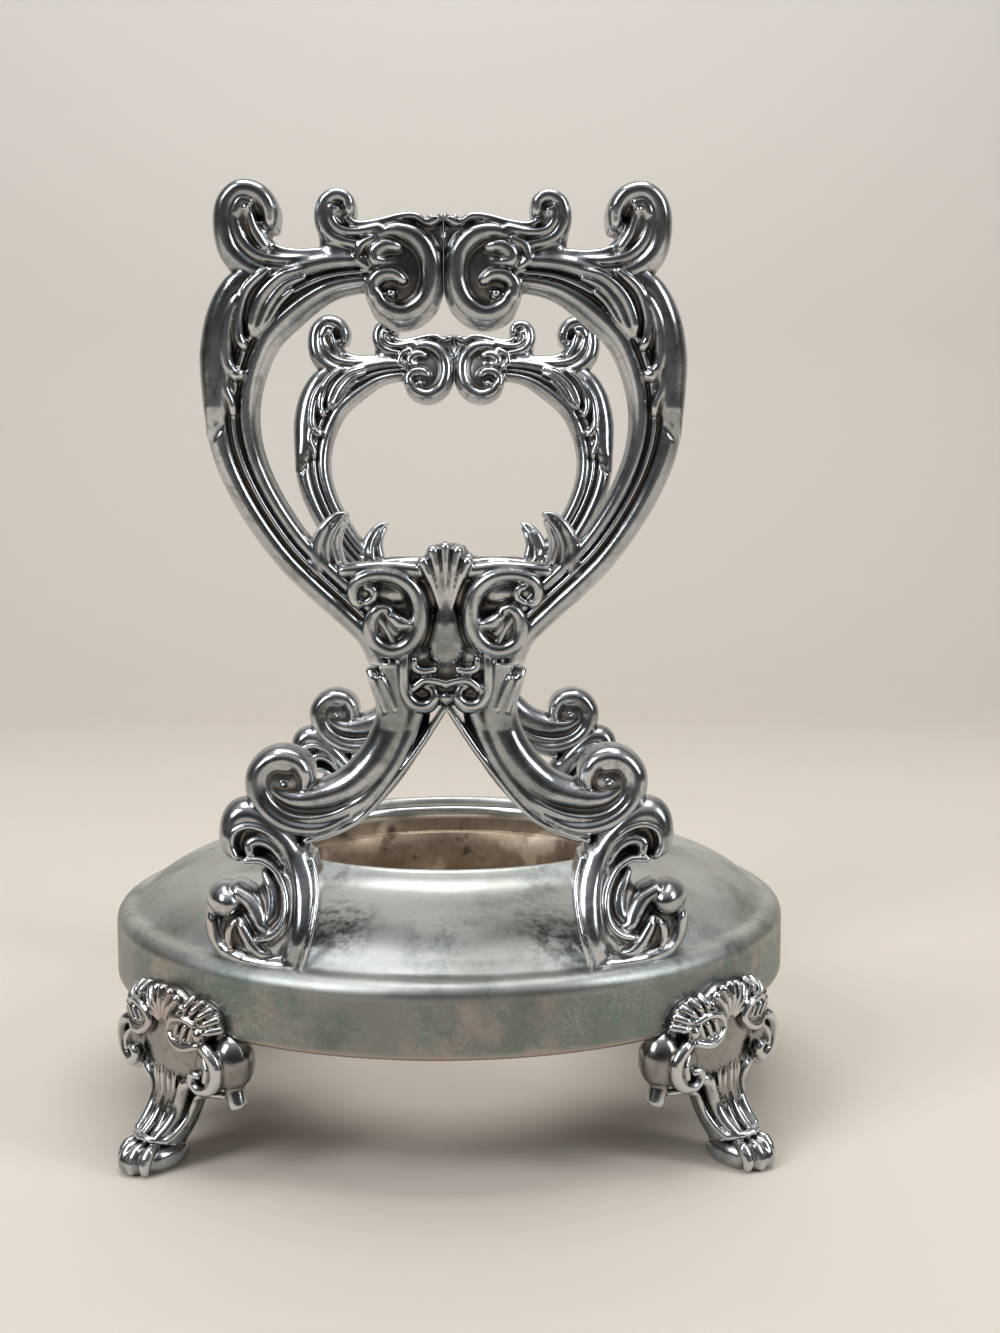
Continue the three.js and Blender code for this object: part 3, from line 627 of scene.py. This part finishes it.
def scroll_leaf(field):
    stroke(field, [[38.8, 64.4, 1.0], [36.9, 60.5, 1.8], [37.0, 56.6, 2.0], [38.6, 54.0, 1.8]], 3.9, 0.5)
    stroke(field, [[44.8, 60.4, 2.2], [41.9, 58.8, 2.5], [40.2, 56.2, 2.5], [39.2, 53.9, 1.7],
                   [37.2, 53.0, 0.9]], 5.0, 0.3)
    ball(field, 47.7, 58.2, 4.4, 6.7, 4.2, 0.25)
    stroke(field, [[50.9, 56.0, 0.9], [50.7, 53, 1.7], [50.0, 50, 2.1], [48.2, 48.0, 2.1], [44.4, 46.8, 1.8]],
           5.1, 0.7)
    stroke(field, [[44.0, 54.9, 0.9], [43.0, 52.6, 1.6], [41.3, 50.0, 1.7], [39.2, 48.5, 1.3],
                   [37.0, 48.2, 0.6]], 6.0, 0.25)
    stroke(field, [[44.9, 54.8, 0.5], [46.1, 53.0, 0.9], [46.5, 51.0, 1.0], [46.0, 49.0, 0.7],
                   [45.2, 47.8, 0.4]], 5.9, 0.25)


def cartouche_field():
    field = Field([-24, -9, 96], [24, 9, 137])
    for side in (1, -1):
        cartouche_half(field, side)
    stroke(field, [[0, 127, 2.0], [0, 121, 2.6], [0, 117, 3.7], [0, 113.6, 4.9], [0, 111.9, 4.8]], 5.0, 0.5)
    stroke(field, [[0, 111, 5.5], [0, 105, 5]], 3.6, 0.6)
    cartouche_shell(field)
    ball(field, 0, 101.9, 2.4, 4.6, 2.4, 0.4)
    x, _, z = field.grid()
    field.cut(np.where(np.abs(x) > SHELL_HALF_WIDTH, z - SADDLE_Z - SADDLE_CLEAR, -EMPTY))
    return field


def cartouche_shell(field):
    """Five lobes that spread from one foot over a rounded body."""
    stroke(field, [[0, 123.5, 2.4], [0, 127.5, 3.9], [0, 129.6, 5.0]], 3.6, 0.5)
    foot_z, bend_z, top_z = 119.6, 120, 133.4
    for i in range(-2, 3):
        tip = [2.55 * i - 0.08 * i ** 3, top_z - 0.75 * i * i]
        bend = [0.56 * tip[0], 0.46 * bend_z + 0.54 * tip[1]]
        stroke(field, [[0.42 * i, foot_z, 0.2], bend + [0.72], tip + [1.5]], 6.1, 0.15)


def cartouche_half(field, side):
    """A big curl with its eye, a small scroll under it, and the metal that fills them."""
    def bar(points, depth, blend):
        stroke(field, mirrored(points, side), depth, blend)

    bar([[8, 127, 4], [12, 120, 5.6], [10, 114.5, 4.6]], 2.6, 0.6)
    for x, z, rx, depth, rz, blend in (
            (11.4, 117.0, 5.2, 4.6, 4.8, 0.8), (11.6, 124.2, 5.4, 3.9, 3.6, 0.6),
            (16.4, 124.2, 2.6, 4.6, 2.4, 0.4), (4.2, 124.6, 4.6, 3.0, 4.4, 0.4),
            (6.2, 111.0, 3.8, 3.6, 3.6, 0.4), (4.8, 105.2, 5.2, 4.3, 5.6, 0.8),
            (10.6, 109.6, 3.0, 3.4, 2.6, 0.5)):
        ball(field, side * x, z, rx, depth, rz, blend)
    bar([[5, 128.6, 1.8], [11, 129.2, 1.9], [17, 128.9, 1.9], [21, 128.6, 1.6]], 5.0, 0.9)
    bar([[16.4, 122.2, 0.8], [18.2, 122.0, 1.3], [19.1, 123.8, 1.5], [18.6, 126.0, 1.6], [16.4, 127.4, 1.8],
         [13.2, 127.9, 2.0], [9.6, 127.2, 2.2], [6.6, 124.8, 2.3], [5.4, 121.0, 2.3], [5.7, 116.6, 2.4],
         [7.9, 113.2, 2.4], [11.2, 112.0, 2.4], [14.4, 113.4, 2.3], [15.7, 116.4, 2.1], [15.2, 119.2, 1.9],
         [13.6, 120.9, 1.5], [11.7, 120.6, 1.2]], 6.2, 0.3)
    bar([[13.0, 120.8, 0.9], [11.4, 119.5, 1.4], [9.6, 117.9, 2.2], [8.0, 117.6, 1.6]], 6.1, 0.25)
    bar([[16.4, 122.2, 0.8], [14.9, 123.2, 1.0], [14.9, 124.9, 1.0], [16.2, 125.4, 0.8]], 5.9, 0.3)
    bar([[8.3, 112, 1.1], [8.8, 107.6, 1.5], [8.6, 103.4, 1.8], [6.8, 100.6, 2.0], [4.2, 100.3, 1.9],
         [2.5, 102.0, 1.4], [3.0, 104.0, 1.1], [4.6, 104.6, 0.9]], 5.9, 0.3)
    bar([[7.2, 103.6, 0.6], [6.3, 104.6, 1.0], [4.6, 105.8, 1.0], [2.2, 105.7, 1.0], [-0.2, 105.1, 1.0]],
        6.0, 0.3)
    bar([[6.6, 110.4, 0.8], [6.5, 108.6, 1.1], [4.6, 107.7, 1.2], [2.4, 108.2, 0.8]], 5.7, 0.3)


def standing(vertices, facing, turned):
    """Flat casting to its place in the frame. facing is 1 at the front and -1 at the rear."""
    x, y, z = vertices.T
    away = y - middle_at(x, z)
    across = -x if turned else x
    return np.stack([facing * across, facing * away, z], 1)


def add_castings(material):
    halves = (("_right", False), ("_left", True))
    makers = ((yoke_field, "yoke", halves), (arm_field, "arm", halves), (scroll_field, "scroll", halves),
              (cartouche_field, "cartouche", (("", False),)))
    for maker, name, sides in makers:
        vertices, faces, hollow = cast(maker())
        for place, facing in (("front", 1), ("rear", -1)):
            for side, turned in sides:
                node = f"{place}_{name}{side}"
                add_piece(node + "_casting", node, material, standing(vertices, facing, turned),
                          faces[:, ::-1] if turned else faces, hollow)


# Paw foot. It is drawn flat against the wall: X along the wall, Y out from the wall, Z up.


def tube(field, points, blend):
    """A round bar through space. Each point is x, y, z and radius."""
    line = smooth_line(points, spacing=0.9, axes=3)
    reach = line[:, 3].max() + MARGIN
    window = field.window(line[:, :3].min(0) - reach, line[:, :3].max(0) + reach)
    nearest = FAR
    for a, b in zip(line[:-1], line[1:]):
        d = b - a
        px, py, pz = field.grid(window, a)
        length2 = d[0] ** 2 + d[1] ** 2 + d[2] ** 2 + TINY
        t = np.clip((px * d[0] + py * d[1] + pz * d[2]) / length2, 0, 1)
        away = np.sqrt((px - t * d[0]) ** 2 + (py - t * d[1]) ** 2 + (pz - t * d[2]) ** 2)
        nearest = np.minimum(nearest, away - a[3] - t * d[3])
    field.merge(window, nearest, blend)


def lump(field, centre, size, blend, carve=False):
    """An ellipsoid, added or carved out."""
    centre = np.array(centre, float)
    size = np.array(size, float)
    reach = size + MARGIN
    window = field.window(centre - reach, centre + reach)
    gx, gy, gz = field.grid(window, centre)
    share = np.sqrt((gx / size[0]) ** 2 + (gy / size[1]) ** 2 + (gz / size[2]) ** 2)
    change = field.carve if carve else field.merge
    change(window, size.min() * (share - 1), blend)


def foot_field():
    """The whole paw foot, with its back against the wall and its sole on the floor."""
    field = Field([-24, -9, -1], [24, 18, 43])
    lump(field, [0, 0, 26.4], [12.5, 3.7, 9.4], 0.6)
    foot_leg(field)
    for side in (1, -1):
        foot_side(field, side)
        foot_leaf(field, side)
        leg_side(field, side)
        paw_side(field, side)
    foot_fan(field)
    _, y, z = field.grid()
    field.cut(np.where(z > BASE_BOTTOM - EDGE_GAP, WALL_GAP - y, -EMPTY))
    field.cut(-z)
    return field


def foot_fan(field):
    """The upright shell in the middle of the top edge."""
    lump(field, [0, 0.4, 34.6], [6.5, 3.0, 4.2], 0.8)
    for i in range(-3, 4):
        angle = math.radians(17 * i)
        away = [math.sin(angle), math.cos(angle)]
        line = [[d * away[0], y, 30.2 + d * away[1], r] for d, y, r in
                ((1.8, 3.4, 0.4), (5.4, 3.9, 0.75), (8.1, 2.9, 1.2))]
        tube(field, line, 0.2)


def foot_leaf(field, side):
    """Fluted leaf that runs down from the shell, round the eye of the scroll."""
    lump(field, [side * 10, 0.4, 32.8], [6.6, 3.0, 4.6], 0.8)
    for i in range(5):
        angle = math.radians(88 - 20 * i)
        out, up = math.cos(angle), math.sin(angle)
        line = [[8 + 4.6 * out, 3.6, 31.2 + 3.4 * up, 0.6], [8 + 6.6 * out, 3.4, 31.3 + 4.9 * up, 0.85],
                [8 + 8.3 * out, 1.5, 31.4 + 6.0 * up, 1.0]]
        tube(field, mirrored(line, side), 0.2)


def foot_side(field, side):
    lump(field, [side * 8, 3.0, 31], [4.7, 2.2, 3.4], 0.3)
    lump(field, [side * 8.6, 6.6, 31.2], [3.6, 3.1, 2.2], 0.2, carve=True)
    eye = [[11.6, 4.3, 33.2, 0.7], [8.6, 4.8, 34.2, 0.8], [5.2, 4.6, 33.2, 0.85], [3.6, 4.2, 30.8, 0.85],
           [5.4, 4.6, 28.5, 0.95], [8.6, 4.8, 27.7, 1.0], [11.8, 4.2, 28.6, 0.9]]
    tube(field, mirrored(eye, side), 0.25)
    for start, end, size in ((5.6, 7.0, 0.6), (7.6, 9.4, 0.65), (9.9, 11.5, 0.6)):
        tube(field, mirrored([[start, 4.3, 29.4, size], [end, 4.7, 32.4, size]], side), 0.15)
    lump(field, [side * 12.4, 3.2, 31.0], [1.5, 2.0, 1.9], 0.2)
    lump(field, [side * 17.2, -1.2, 25.0], [4.9, 4.8, 6.2], 0.4)
    lump(field, [side * 13.6, 1.0, 23.6], [4.4, 2.8, 5.0], 0.4)
    scroll = [[11.4, 2.8, 28.2, 0.9], [14.4, 4.0, 28.4, 1.3], [16.9, 4.0, 25.8, 1.4], [17.1, 3.8, 22.6, 1.4],
              [15.2, 3.8, 19.9, 1.3], [12.2, 3.9, 19.2, 1.2], [10.4, 4.0, 20.8, 1.1], [10.9, 4.2, 22.4, 1.0],
              [12.3, 4.2, 22.4, 0.8]]
    tube(field, mirrored(scroll, side), 0.25)
    vein = [[13.4, 3.6, 26.2, 0.5], [14.9, 4.1, 24.2, 0.8], [14.5, 4.2, 21.8, 0.8]]
    tube(field, mirrored(vein, side), 0.2)
    drop = [[17.4, -1.0, 20.4, 2.1], [18.6, -0.6, 17.4, 2.0], [19.0, -0.5, 16.2, 2.0]]
    tube(field, mirrored(drop, side), 0.3)
    lump(field, [side * 21.6, -0.5, 7.9], [8, 8, 8], 0.3, carve=True)


def foot_leg(field):
    tube(field, [[0, -2.4, 23, 5.6], [0, -2.2, 17, 5.6], [0, 0.0, 10.4, 5.0], [0, 3.0, 5.8, 4.3]], 0.5)
    flute = [[0, 3.0, 21.9, 0.5], [0, 3.2, 19.5, 0.85], [0, 3.1, 16, 0.85], [0, 4.2, 12.4, 0.8],
             [0, 6.4, 9.4, 0.75], [0, 8.4, 7.8, 0.6]]
    for shift in (-1.75, 0, 1.75):
        dip = 0.25 if shift else 0
        tube(field, [[shift, y - dip, z - 3 * dip, r] for _, y, z, r in flute], 0.15)


def leg_side(field, side):
    tube(field, mirrored([[5, -0.4, 19.6, 2.4], [10, -0.8, 20, 2.3], [15, -1.6, 20.6, 2.2]], side), 0.4)
    calf = [[12.4, -0.8, 18.8, 1.7], [8.4, -0.6, 17.2, 1.7], [6.2, -0.2, 13.4, 1.5], [5.2, 1.6, 9.8, 1.4]]
    tube(field, mirrored(calf, side), 0.4)
    ridge = [[9.4, 2.0, 20.0, 1.0], [6.8, 2.6, 18.8, 1.4], [5.0, 2.2, 15.8, 1.45], [4.3, 3.0, 12.4, 1.4],
             [3.9, 5.0, 9.6, 1.3], [3.4, 7.4, 7.6, 1.1]]
    tube(field, mirrored(ridge, side), 0.25)
    frill = [[3.3, 2.4, 21.8, 0.5], [3.4, 3.0, 19.2, 0.6], [3.0, 2.9, 16, 0.55], [2.7, 3.9, 12.6, 0.5]]
    tube(field, mirrored(frill, side), 0.15)
    rim = [[16.0, 0.6, 17.8, 0.75], [12.0, 1.0, 17.2, 0.75], [8.6, 1.0, 15.8, 0.75], [7.0, 1.0, 13.4, 0.75],
           [6.2, 2.2, 10.6, 0.75], [5.5, 4.4, 8.2, 0.75], [4.9, 6.6, 6.9, 0.75]]
    tube(field, mirrored(rim, side), 0.25)


def paw_side(field, side):
    lump(field, [0, 6.8, 2.2], [4.3, 7.0, 3.5], 0.5)
    lump(field, [side * 3.0, 5.4, 2.6], [2.4, 6.0, 3.0], 0.4)
    tube(field, mirrored([[4.7, 6.8, 6.9, 0.7], [2.6, 8.8, 7.2, 0.8], [0, 9.5, 7.4, 0.8]], side), 0.2)
    for place, reach, size in ((1.2, 12.4, 1.2), (3.5, 11.0, 1.25)):
        toe = [[0.8 * place, reach - 3.4, 5.6, 0.9], [place, reach - 1.0, 4.9, size],
               [1.03 * place, reach + 0.3, 2.6, size], [1.03 * place, reach + 0.2, 1.2, 1.0]]
        tube(field, mirrored(toe, side), 0.2)


def wrapped(vertices, turn):
    """A foot bent round the wall, turn degrees from the front."""
    angle = vertices[:, 0] / BASE_RADIUS + math.radians(turn)
    distance = BASE_RADIUS + vertices[:, 1]
    return np.stack([distance * np.sin(angle), -distance * np.cos(angle), vertices[:, 2]], 1)


def add_feet(material):
    vertices, faces, hollow = cast(foot_field())
    places = {"front_right": FOOT_ANGLE, "rear_right": 180 - FOOT_ANGLE,
              "rear_left": 180 + FOOT_ANGLE, "front_left": -FOOT_ANGLE}
    for place, turn in places.items():
        node = f"paw_foot_{place}"
        add_piece(node + "_casting", node, material, wrapped(vertices, turn), faces[:, ::-1], hollow)


# Materials

HEIGHT_SCALE = 10
BUMP_HEIGHT = 0.00004
ROOM_LIGHT = 0.8


class Nodes:
    """Short calls for the nodes of a material or of the world."""

    def __init__(self, owner, coordinates="Object"):
        owner.use_nodes = True
        self.owner = owner
        self.tree = owner.node_tree
        self.place = self.node("ShaderNodeTexCoord").outputs[coordinates]

    def feed(self, socket, value):
        if isinstance(value, bpy.types.NodeSocket):
            self.tree.links.new(value, socket)
        else:
            socket.default_value = value

    def node(self, kind, **inputs):
        node = self.tree.nodes.new(kind)
        for key, value in inputs.items():
            self.feed(node.inputs[key], value)
        return node

    def axis(self, letter):
        """X, Y or Z of the place."""
        return self.node("ShaderNodeSeparateXYZ", Vector=self.place).outputs[letter]

    def height(self):
        """Height over the floor for a ramp, whose places run from 0 to 1."""
        return self.math("MULTIPLY", self.axis("Z"), HEIGHT_SCALE, False)

    def noise(self, scale, detail=4.0, roughness=0.55, distortion=0.0):
        node = self.node("ShaderNodeTexNoise", Vector=self.place, Scale=scale, Detail=detail,
                         Roughness=roughness, Distortion=distortion)
        return node.outputs["Fac"]

    def ramp(self, value, stops):
        """Colours or grey values at places from 0 to 1."""
        node = self.node("ShaderNodeValToRGB", Fac=value)
        elements = node.color_ramp.elements
        for i, (position, color) in enumerate(stops):
            element = elements[i] if i < 2 else elements.new(position)
            element.position = position
            element.color = color if hasattr(color, "__len__") else (color, color, color, 1)
        return node.outputs["Color"]

    def patches(self, start, full, *noise):
        """A noise as patches: 0 below start and 1 above full."""
        return self.ramp(self.noise(*noise), [(start, 0.0), (full, 1.0)])

    def mix(self, share, a, b):
        """Colour a where share is 0, b where it is 1. A Mix node's sockets for colours are told by number."""
        node = self.tree.nodes.new("ShaderNodeMix")
        node.data_type = "RGBA"
        for number, value in ((0, share), (6, a), (7, b)):
            self.feed(node.inputs[number], value)
        return node.outputs[2]

    def math(self, operation, a, b, clamp=True):
        node = self.tree.nodes.new("ShaderNodeMath")
        node.operation = operation
        node.use_clamp = clamp
        for socket, value in zip(node.inputs, (a, b)):
            self.feed(socket, value)
        return node.outputs[0]

    def times(self, a, b):
        return self.math("MULTIPLY", a, b)

    def near_spot(self, place, inner, outer):
        """1 within the inner distance of a place in mm, falling to 0 at the outer distance."""
        away = self.tree.nodes.new("ShaderNodeVectorMath")
        away.operation = "DISTANCE"
        self.feed(away.inputs[0], self.place)
        self.feed(away.inputs[1], [value * MM for value in place])
        ends = {"From Min": inner * MM, "From Max": outer * MM, "To Min": 1.0, "To Max": 0.0}
        return self.node("ShaderNodeMapRange", Value=away.outputs["Value"], **ends).outputs["Result"]

    def camera_ray(self):
        return self.node("ShaderNodeLightPath").outputs["Is Camera Ray"]

    def surface(self, color, roughness):
        main = self.tree.nodes["Principled BSDF"]
        self.feed(main.inputs["Base Color"], color)
        self.feed(main.inputs["Roughness"], roughness)
        return main

    def metal(self, color, roughness, grain):
        """The finished material, with a fine bump whose noise has the scale grain."""
        main = self.surface(color, roughness)
        main.inputs["Metallic"].default_value = 1.0
        fine = self.noise(grain, 4, 0.6)
        bump = self.node("ShaderNodeBump", Height=fine, Distance=BUMP_HEIGHT, Strength=1.0)
        self.feed(main.inputs["Normal"], bump.outputs["Normal"])
        return self.owner


def level(z):
    """Place on a ramp over height for a height in mm."""
    return z * MM * HEIGHT_SCALE


def cast_silver():
    """Worn bright edges, grey plate with stains, browner legs, and dark dirt in the hollows."""
    shader = Nodes(bpy.data.materials.new("cast_silver"))
    attribute = shader.node("ShaderNodeAttribute")
    attribute.attribute_name = "hollow"
    hollow = attribute.outputs["Fac"]
    smudge = shader.noise(95, 5, 0.6)
    depth = shader.math("ADD", hollow, shader.times(smudge, 0.25), False)
    dirt = shader.ramp(depth, [(0.68, 0.0), (1.0, 0.92)])
    plate = shader.mix(shader.patches(0.38, 0.62, 42, 5, 0.65),
                       (0.55, 0.565, 0.585, 1), (0.31, 0.325, 0.335, 1))
    stain_and_painted_reflection = shader.ramp(shader.noise(240, 5, 0.7, 0.6), [(0.50, 0.0), (0.66, 0.75)])
    plate = shader.mix(stain_and_painted_reflection, plate, (0.20, 0.205, 0.20, 1))
    leg = shader.ramp(shader.height(), [(0.08, 0.0), (0.14, 0.65), (0.38, 0.65), (0.46, 0.0)])
    plate = shader.mix(leg, plate, (0.22, 0.205, 0.18, 1))
    worn = shader.mix(shader.patches(0.55, 0.68, 26, 3, 0.5), (0.66, 0.675, 0.69, 1), (0.58, 0.50, 0.47, 1))
    edge = shader.ramp(hollow, [(0.14, 0.8), (0.34, 0.0)])
    plate = shader.mix(edge, plate, worn)
    tarnish = shader.mix(shader.noise(130, 3), (0.21, 0.175, 0.145, 1), (0.075, 0.072, 0.068, 1))
    smear = shader.ramp(shader.noise(150, 5, 0.65), [(0.3, 0.12), (0.75, 0.30)])
    roughness = shader.mix(dirt, smear, (0.36, 0.36, 0.36, 1))
    return shader.metal(shader.mix(dirt, plate, tarnish), roughness, 520)


def spun_silver():
    """Paler dome, mottled wall made darker with painted shade, blush and green patches, and dark speckle on
    the dome: faint stains all over and two painted dark reflections near the front scroll feet.
    """
    shader = Nodes(bpy.data.materials.new("spun_silver"))
    height = shader.height()
    # Below the shoulder the wall gets a darker copy of the dome's colour: painted shade for the dim room it
    # faces, laid over its real mottling
    wall = shader.ramp(height, [(level(SHOULDER_Z - 1), 1.0), (level(SHOULDER_Z + 3), 0.0)])
    cloud = shader.patches(0.35, 0.65, 19, 5, 0.6, 0.4)
    top = shader.mix(cloud, (0.60, 0.61, 0.59, 1), (0.45, 0.46, 0.435, 1))
    side = shader.mix(cloud, (0.29, 0.285, 0.27, 1), (0.19, 0.215, 0.20, 1))
    plate = shader.mix(wall, top, side)
    worn = shader.math("ADD", shader.times(wall, 0.5), 0.3)
    blush = shader.patches(0.50, 0.62, 34, 5, 0.65, 0.6)
    plate = shader.mix(shader.times(blush, worn), plate, (0.42, 0.345, 0.315, 1))
    green = shader.patches(0.49, 0.60, 47, 6, 0.75)
    plate = shader.mix(shader.times(green, worn), plate, (0.165, 0.235, 0.20, 1))
    grain = shader.patches(0.47, 0.62, 1100, 5, 0.8)
    freckle = shader.times(shader.patches(0.42, 0.62, 70, 5, 0.7), grain)
    plate = shader.mix(shader.times(freckle, 0.6), plate, (0.40, 0.46, 0.42, 1))
    speckle = shader.patches(0.44, 0.58, 330, 5, 0.75)
    # The two speckled dark places near the front scroll feet are painted reflection; the faint speckle over
    # the rest of the dome is real staining
    right = shader.near_spot((26, -67, 49), 2, 15)
    left = shader.near_spot((-23, -64, 50), 4, 12)
    patch = shader.times(shader.math("ADD", right, left), speckle)
    faint = shader.times(shader.patches(0.50, 0.66, 46, 5, 0.7), 0.6)
    stain_and_painted_reflection = shader.math("ADD", patch, shader.times(faint, speckle))
    plate = shader.mix(stain_and_painted_reflection, plate, (0.12, 0.12, 0.105, 1))
    foot = shader.ramp(height, [(level(BASE_BOTTOM + 0.5), 1.0), (level(BASE_BOTTOM + 1.4), 0.0)])
    color = shader.mix(foot, plate, (0.44, 0.36, 0.31, 1))
    smear = shader.ramp(shader.noise(60, 5, 0.6), [(0.3, 0.38), (0.75, 0.54)])
    roughness = shader.math("SUBTRACT", smear, shader.times(wall, 0.07))
    return shader.metal(color, roughness, 420)


def liner_silver():
    """Brown stained inside with paler and darker spots, and a bright lip."""
    shader = Nodes(bpy.data.materials.new("liner_silver"))
    lip = shader.ramp(shader.height(), [(level(RING_TOP - 3.4), 0.0), (level(RING_TOP - 2.6), 1.0)])
    brown = shader.mix(shader.patches(0.38, 0.64, 90, 5, 0.65),
                       (0.22, 0.16, 0.115, 1), (0.39, 0.31, 0.23, 1))
    pale = shader.patches(0.62, 0.68, 70, 3, 0.5)
    brown = shader.mix(pale, brown, (0.52, 0.43, 0.33, 1))
    spots = shader.patches(0.58, 0.70, 150, 5, 0.6)
    brown = shader.mix(spots, brown, (0.10, 0.075, 0.055, 1))
    color = shader.mix(lip, brown, (0.70, 0.69, 0.67, 1))
    roughness = shader.mix(lip, (0.48, 0.48, 0.48, 1), (0.22, 0.22, 0.22, 1))
    return shader.metal(color, roughness, 400)


# Floor, light and camera, in metres


def floor_paper():
    """Pale to the camera all over. Other rays see the card end in front, where the room is darker."""
    shader = Nodes(bpy.data.materials.new("floor_paper"))
    card_edge, edge_blur = 0.30, 0.08
    behind_edge = shader.math("ADD", shader.axis("Y"), 1.0, False)
    card = shader.ramp(behind_edge, [(1 - card_edge - edge_blur, 0.0), (1 - card_edge, 1.0)])
    pale = shader.math("MAXIMUM", card, shader.camera_ray())
    # The paper is painted paler up the bend and backdrop than on the floor: painted light on one sheet of
    # card
    paper = shader.ramp(shader.axis("Z"), [(0.02, (0.61, 0.55, 0.48, 1)), (0.30, (0.74, 0.69, 0.63, 1)),
                                           (0.9, (0.83, 0.80, 0.755, 1))])
    shader.surface(shader.mix(pale, (0.10, 0.095, 0.09, 1), paper), 0.85)
    return shader.owner


def add_stage():
    """Floor that bends up into a backdrop."""
    size, depth, bend, top = 3.0, 0.75, 0.35, 2.4
    rows = [(-size, 0.0), (depth, 0.0)]
    rows += [(depth + bend * math.sin(angle), bend * (1 - math.cos(angle)))
             for angle in np.radians(np.linspace(6, 90, 15))]
    rows += [(depth + bend, top)]
    vertices = np.array([[x, y, z] for y, z in rows for x in (-size, size)])
    faces = np.array([[2 * i, 2 * i + 1, 2 * i + 3, 2 * i + 2] for i in range(len(rows) - 1)])
    mesh = make_mesh("studio_floor", vertices / MM, faces)
    mesh.materials.append(floor_paper())
    floor = new_object("studio_floor", mesh)


def add_light(name, place, size, power, color):
    aim = (0, 0, 0.1)
    light = bpy.data.lights.new(name, "AREA")
    light.shape = "RECTANGLE"
    light.size, light.size_y = size
    light.energy = power
    light.color = color
    lamp = new_object(name, light)
    lamp.location = place
    lamp.rotation_euler = (Vector(aim) - Vector(place)).to_track_quat("-Z", "Y").to_euler()


def add_lights():
    add_light("window_left", (-0.95, -0.75, 1.0), (0.55, 0.8), 12, (0.94, 0.97, 1.0))
    add_light("window_right", (1.1, -0.45, 0.75), (0.35, 0.8), 7, (0.95, 0.98, 1.0))
    add_light("ceiling", (0, 0.1, 1.5), (1.1, 0.9), 13, (1.0, 0.99, 0.97))


def add_room():
    """Dim walls and a pale ceiling for the metal to show, and one pale colour for the camera."""
    world = bpy.data.worlds.new("room")
    bpy.context.scene.world = world
    room = Nodes(world, "Generated")
    walls = room.ramp(room.axis("Z"), [(0.0, (0.10, 0.085, 0.07, 1)), (0.30, (0.07, 0.075, 0.085, 1)),
                                       (0.62, (0.22, 0.23, 0.25, 1)), (1.0, (0.85, 0.86, 0.88, 1))])
    back = world.node_tree.nodes["Background"]
    room.feed(back.inputs["Color"], room.mix(room.camera_ray(), walls, (0.875, 0.825, 0.76, 1)))
    back.inputs["Strength"].default_value = ROOM_LIGHT


def add_camera():
    lens_pixels = 1430
    frame_height = 1333
    sensor = 36
    pitch, yaw = 0.0855, 0.0188
    camera = bpy.data.cameras.new("camera")
    camera.sensor_width = sensor
    camera.lens = sensor * lens_pixels / frame_height
    camera.clip_start = 0.01
    holder = new_object("camera", camera)
    holder.location = (0.00567, -0.3653, 0.1343)
    holder.rotation_euler = (math.pi / 2 - pitch, 0, -yaw)
    bpy.context.scene.camera = holder


def main():
    add_camera()
    spun_base(spun_silver())
    burner_liner(liner_silver())
    silver = cast_silver()
    add_castings(silver)
    add_feet(silver)
    add_stage()
    add_lights()
    add_room()
    bpy.context.scene.view_settings.view_transform = "Standard"


main()
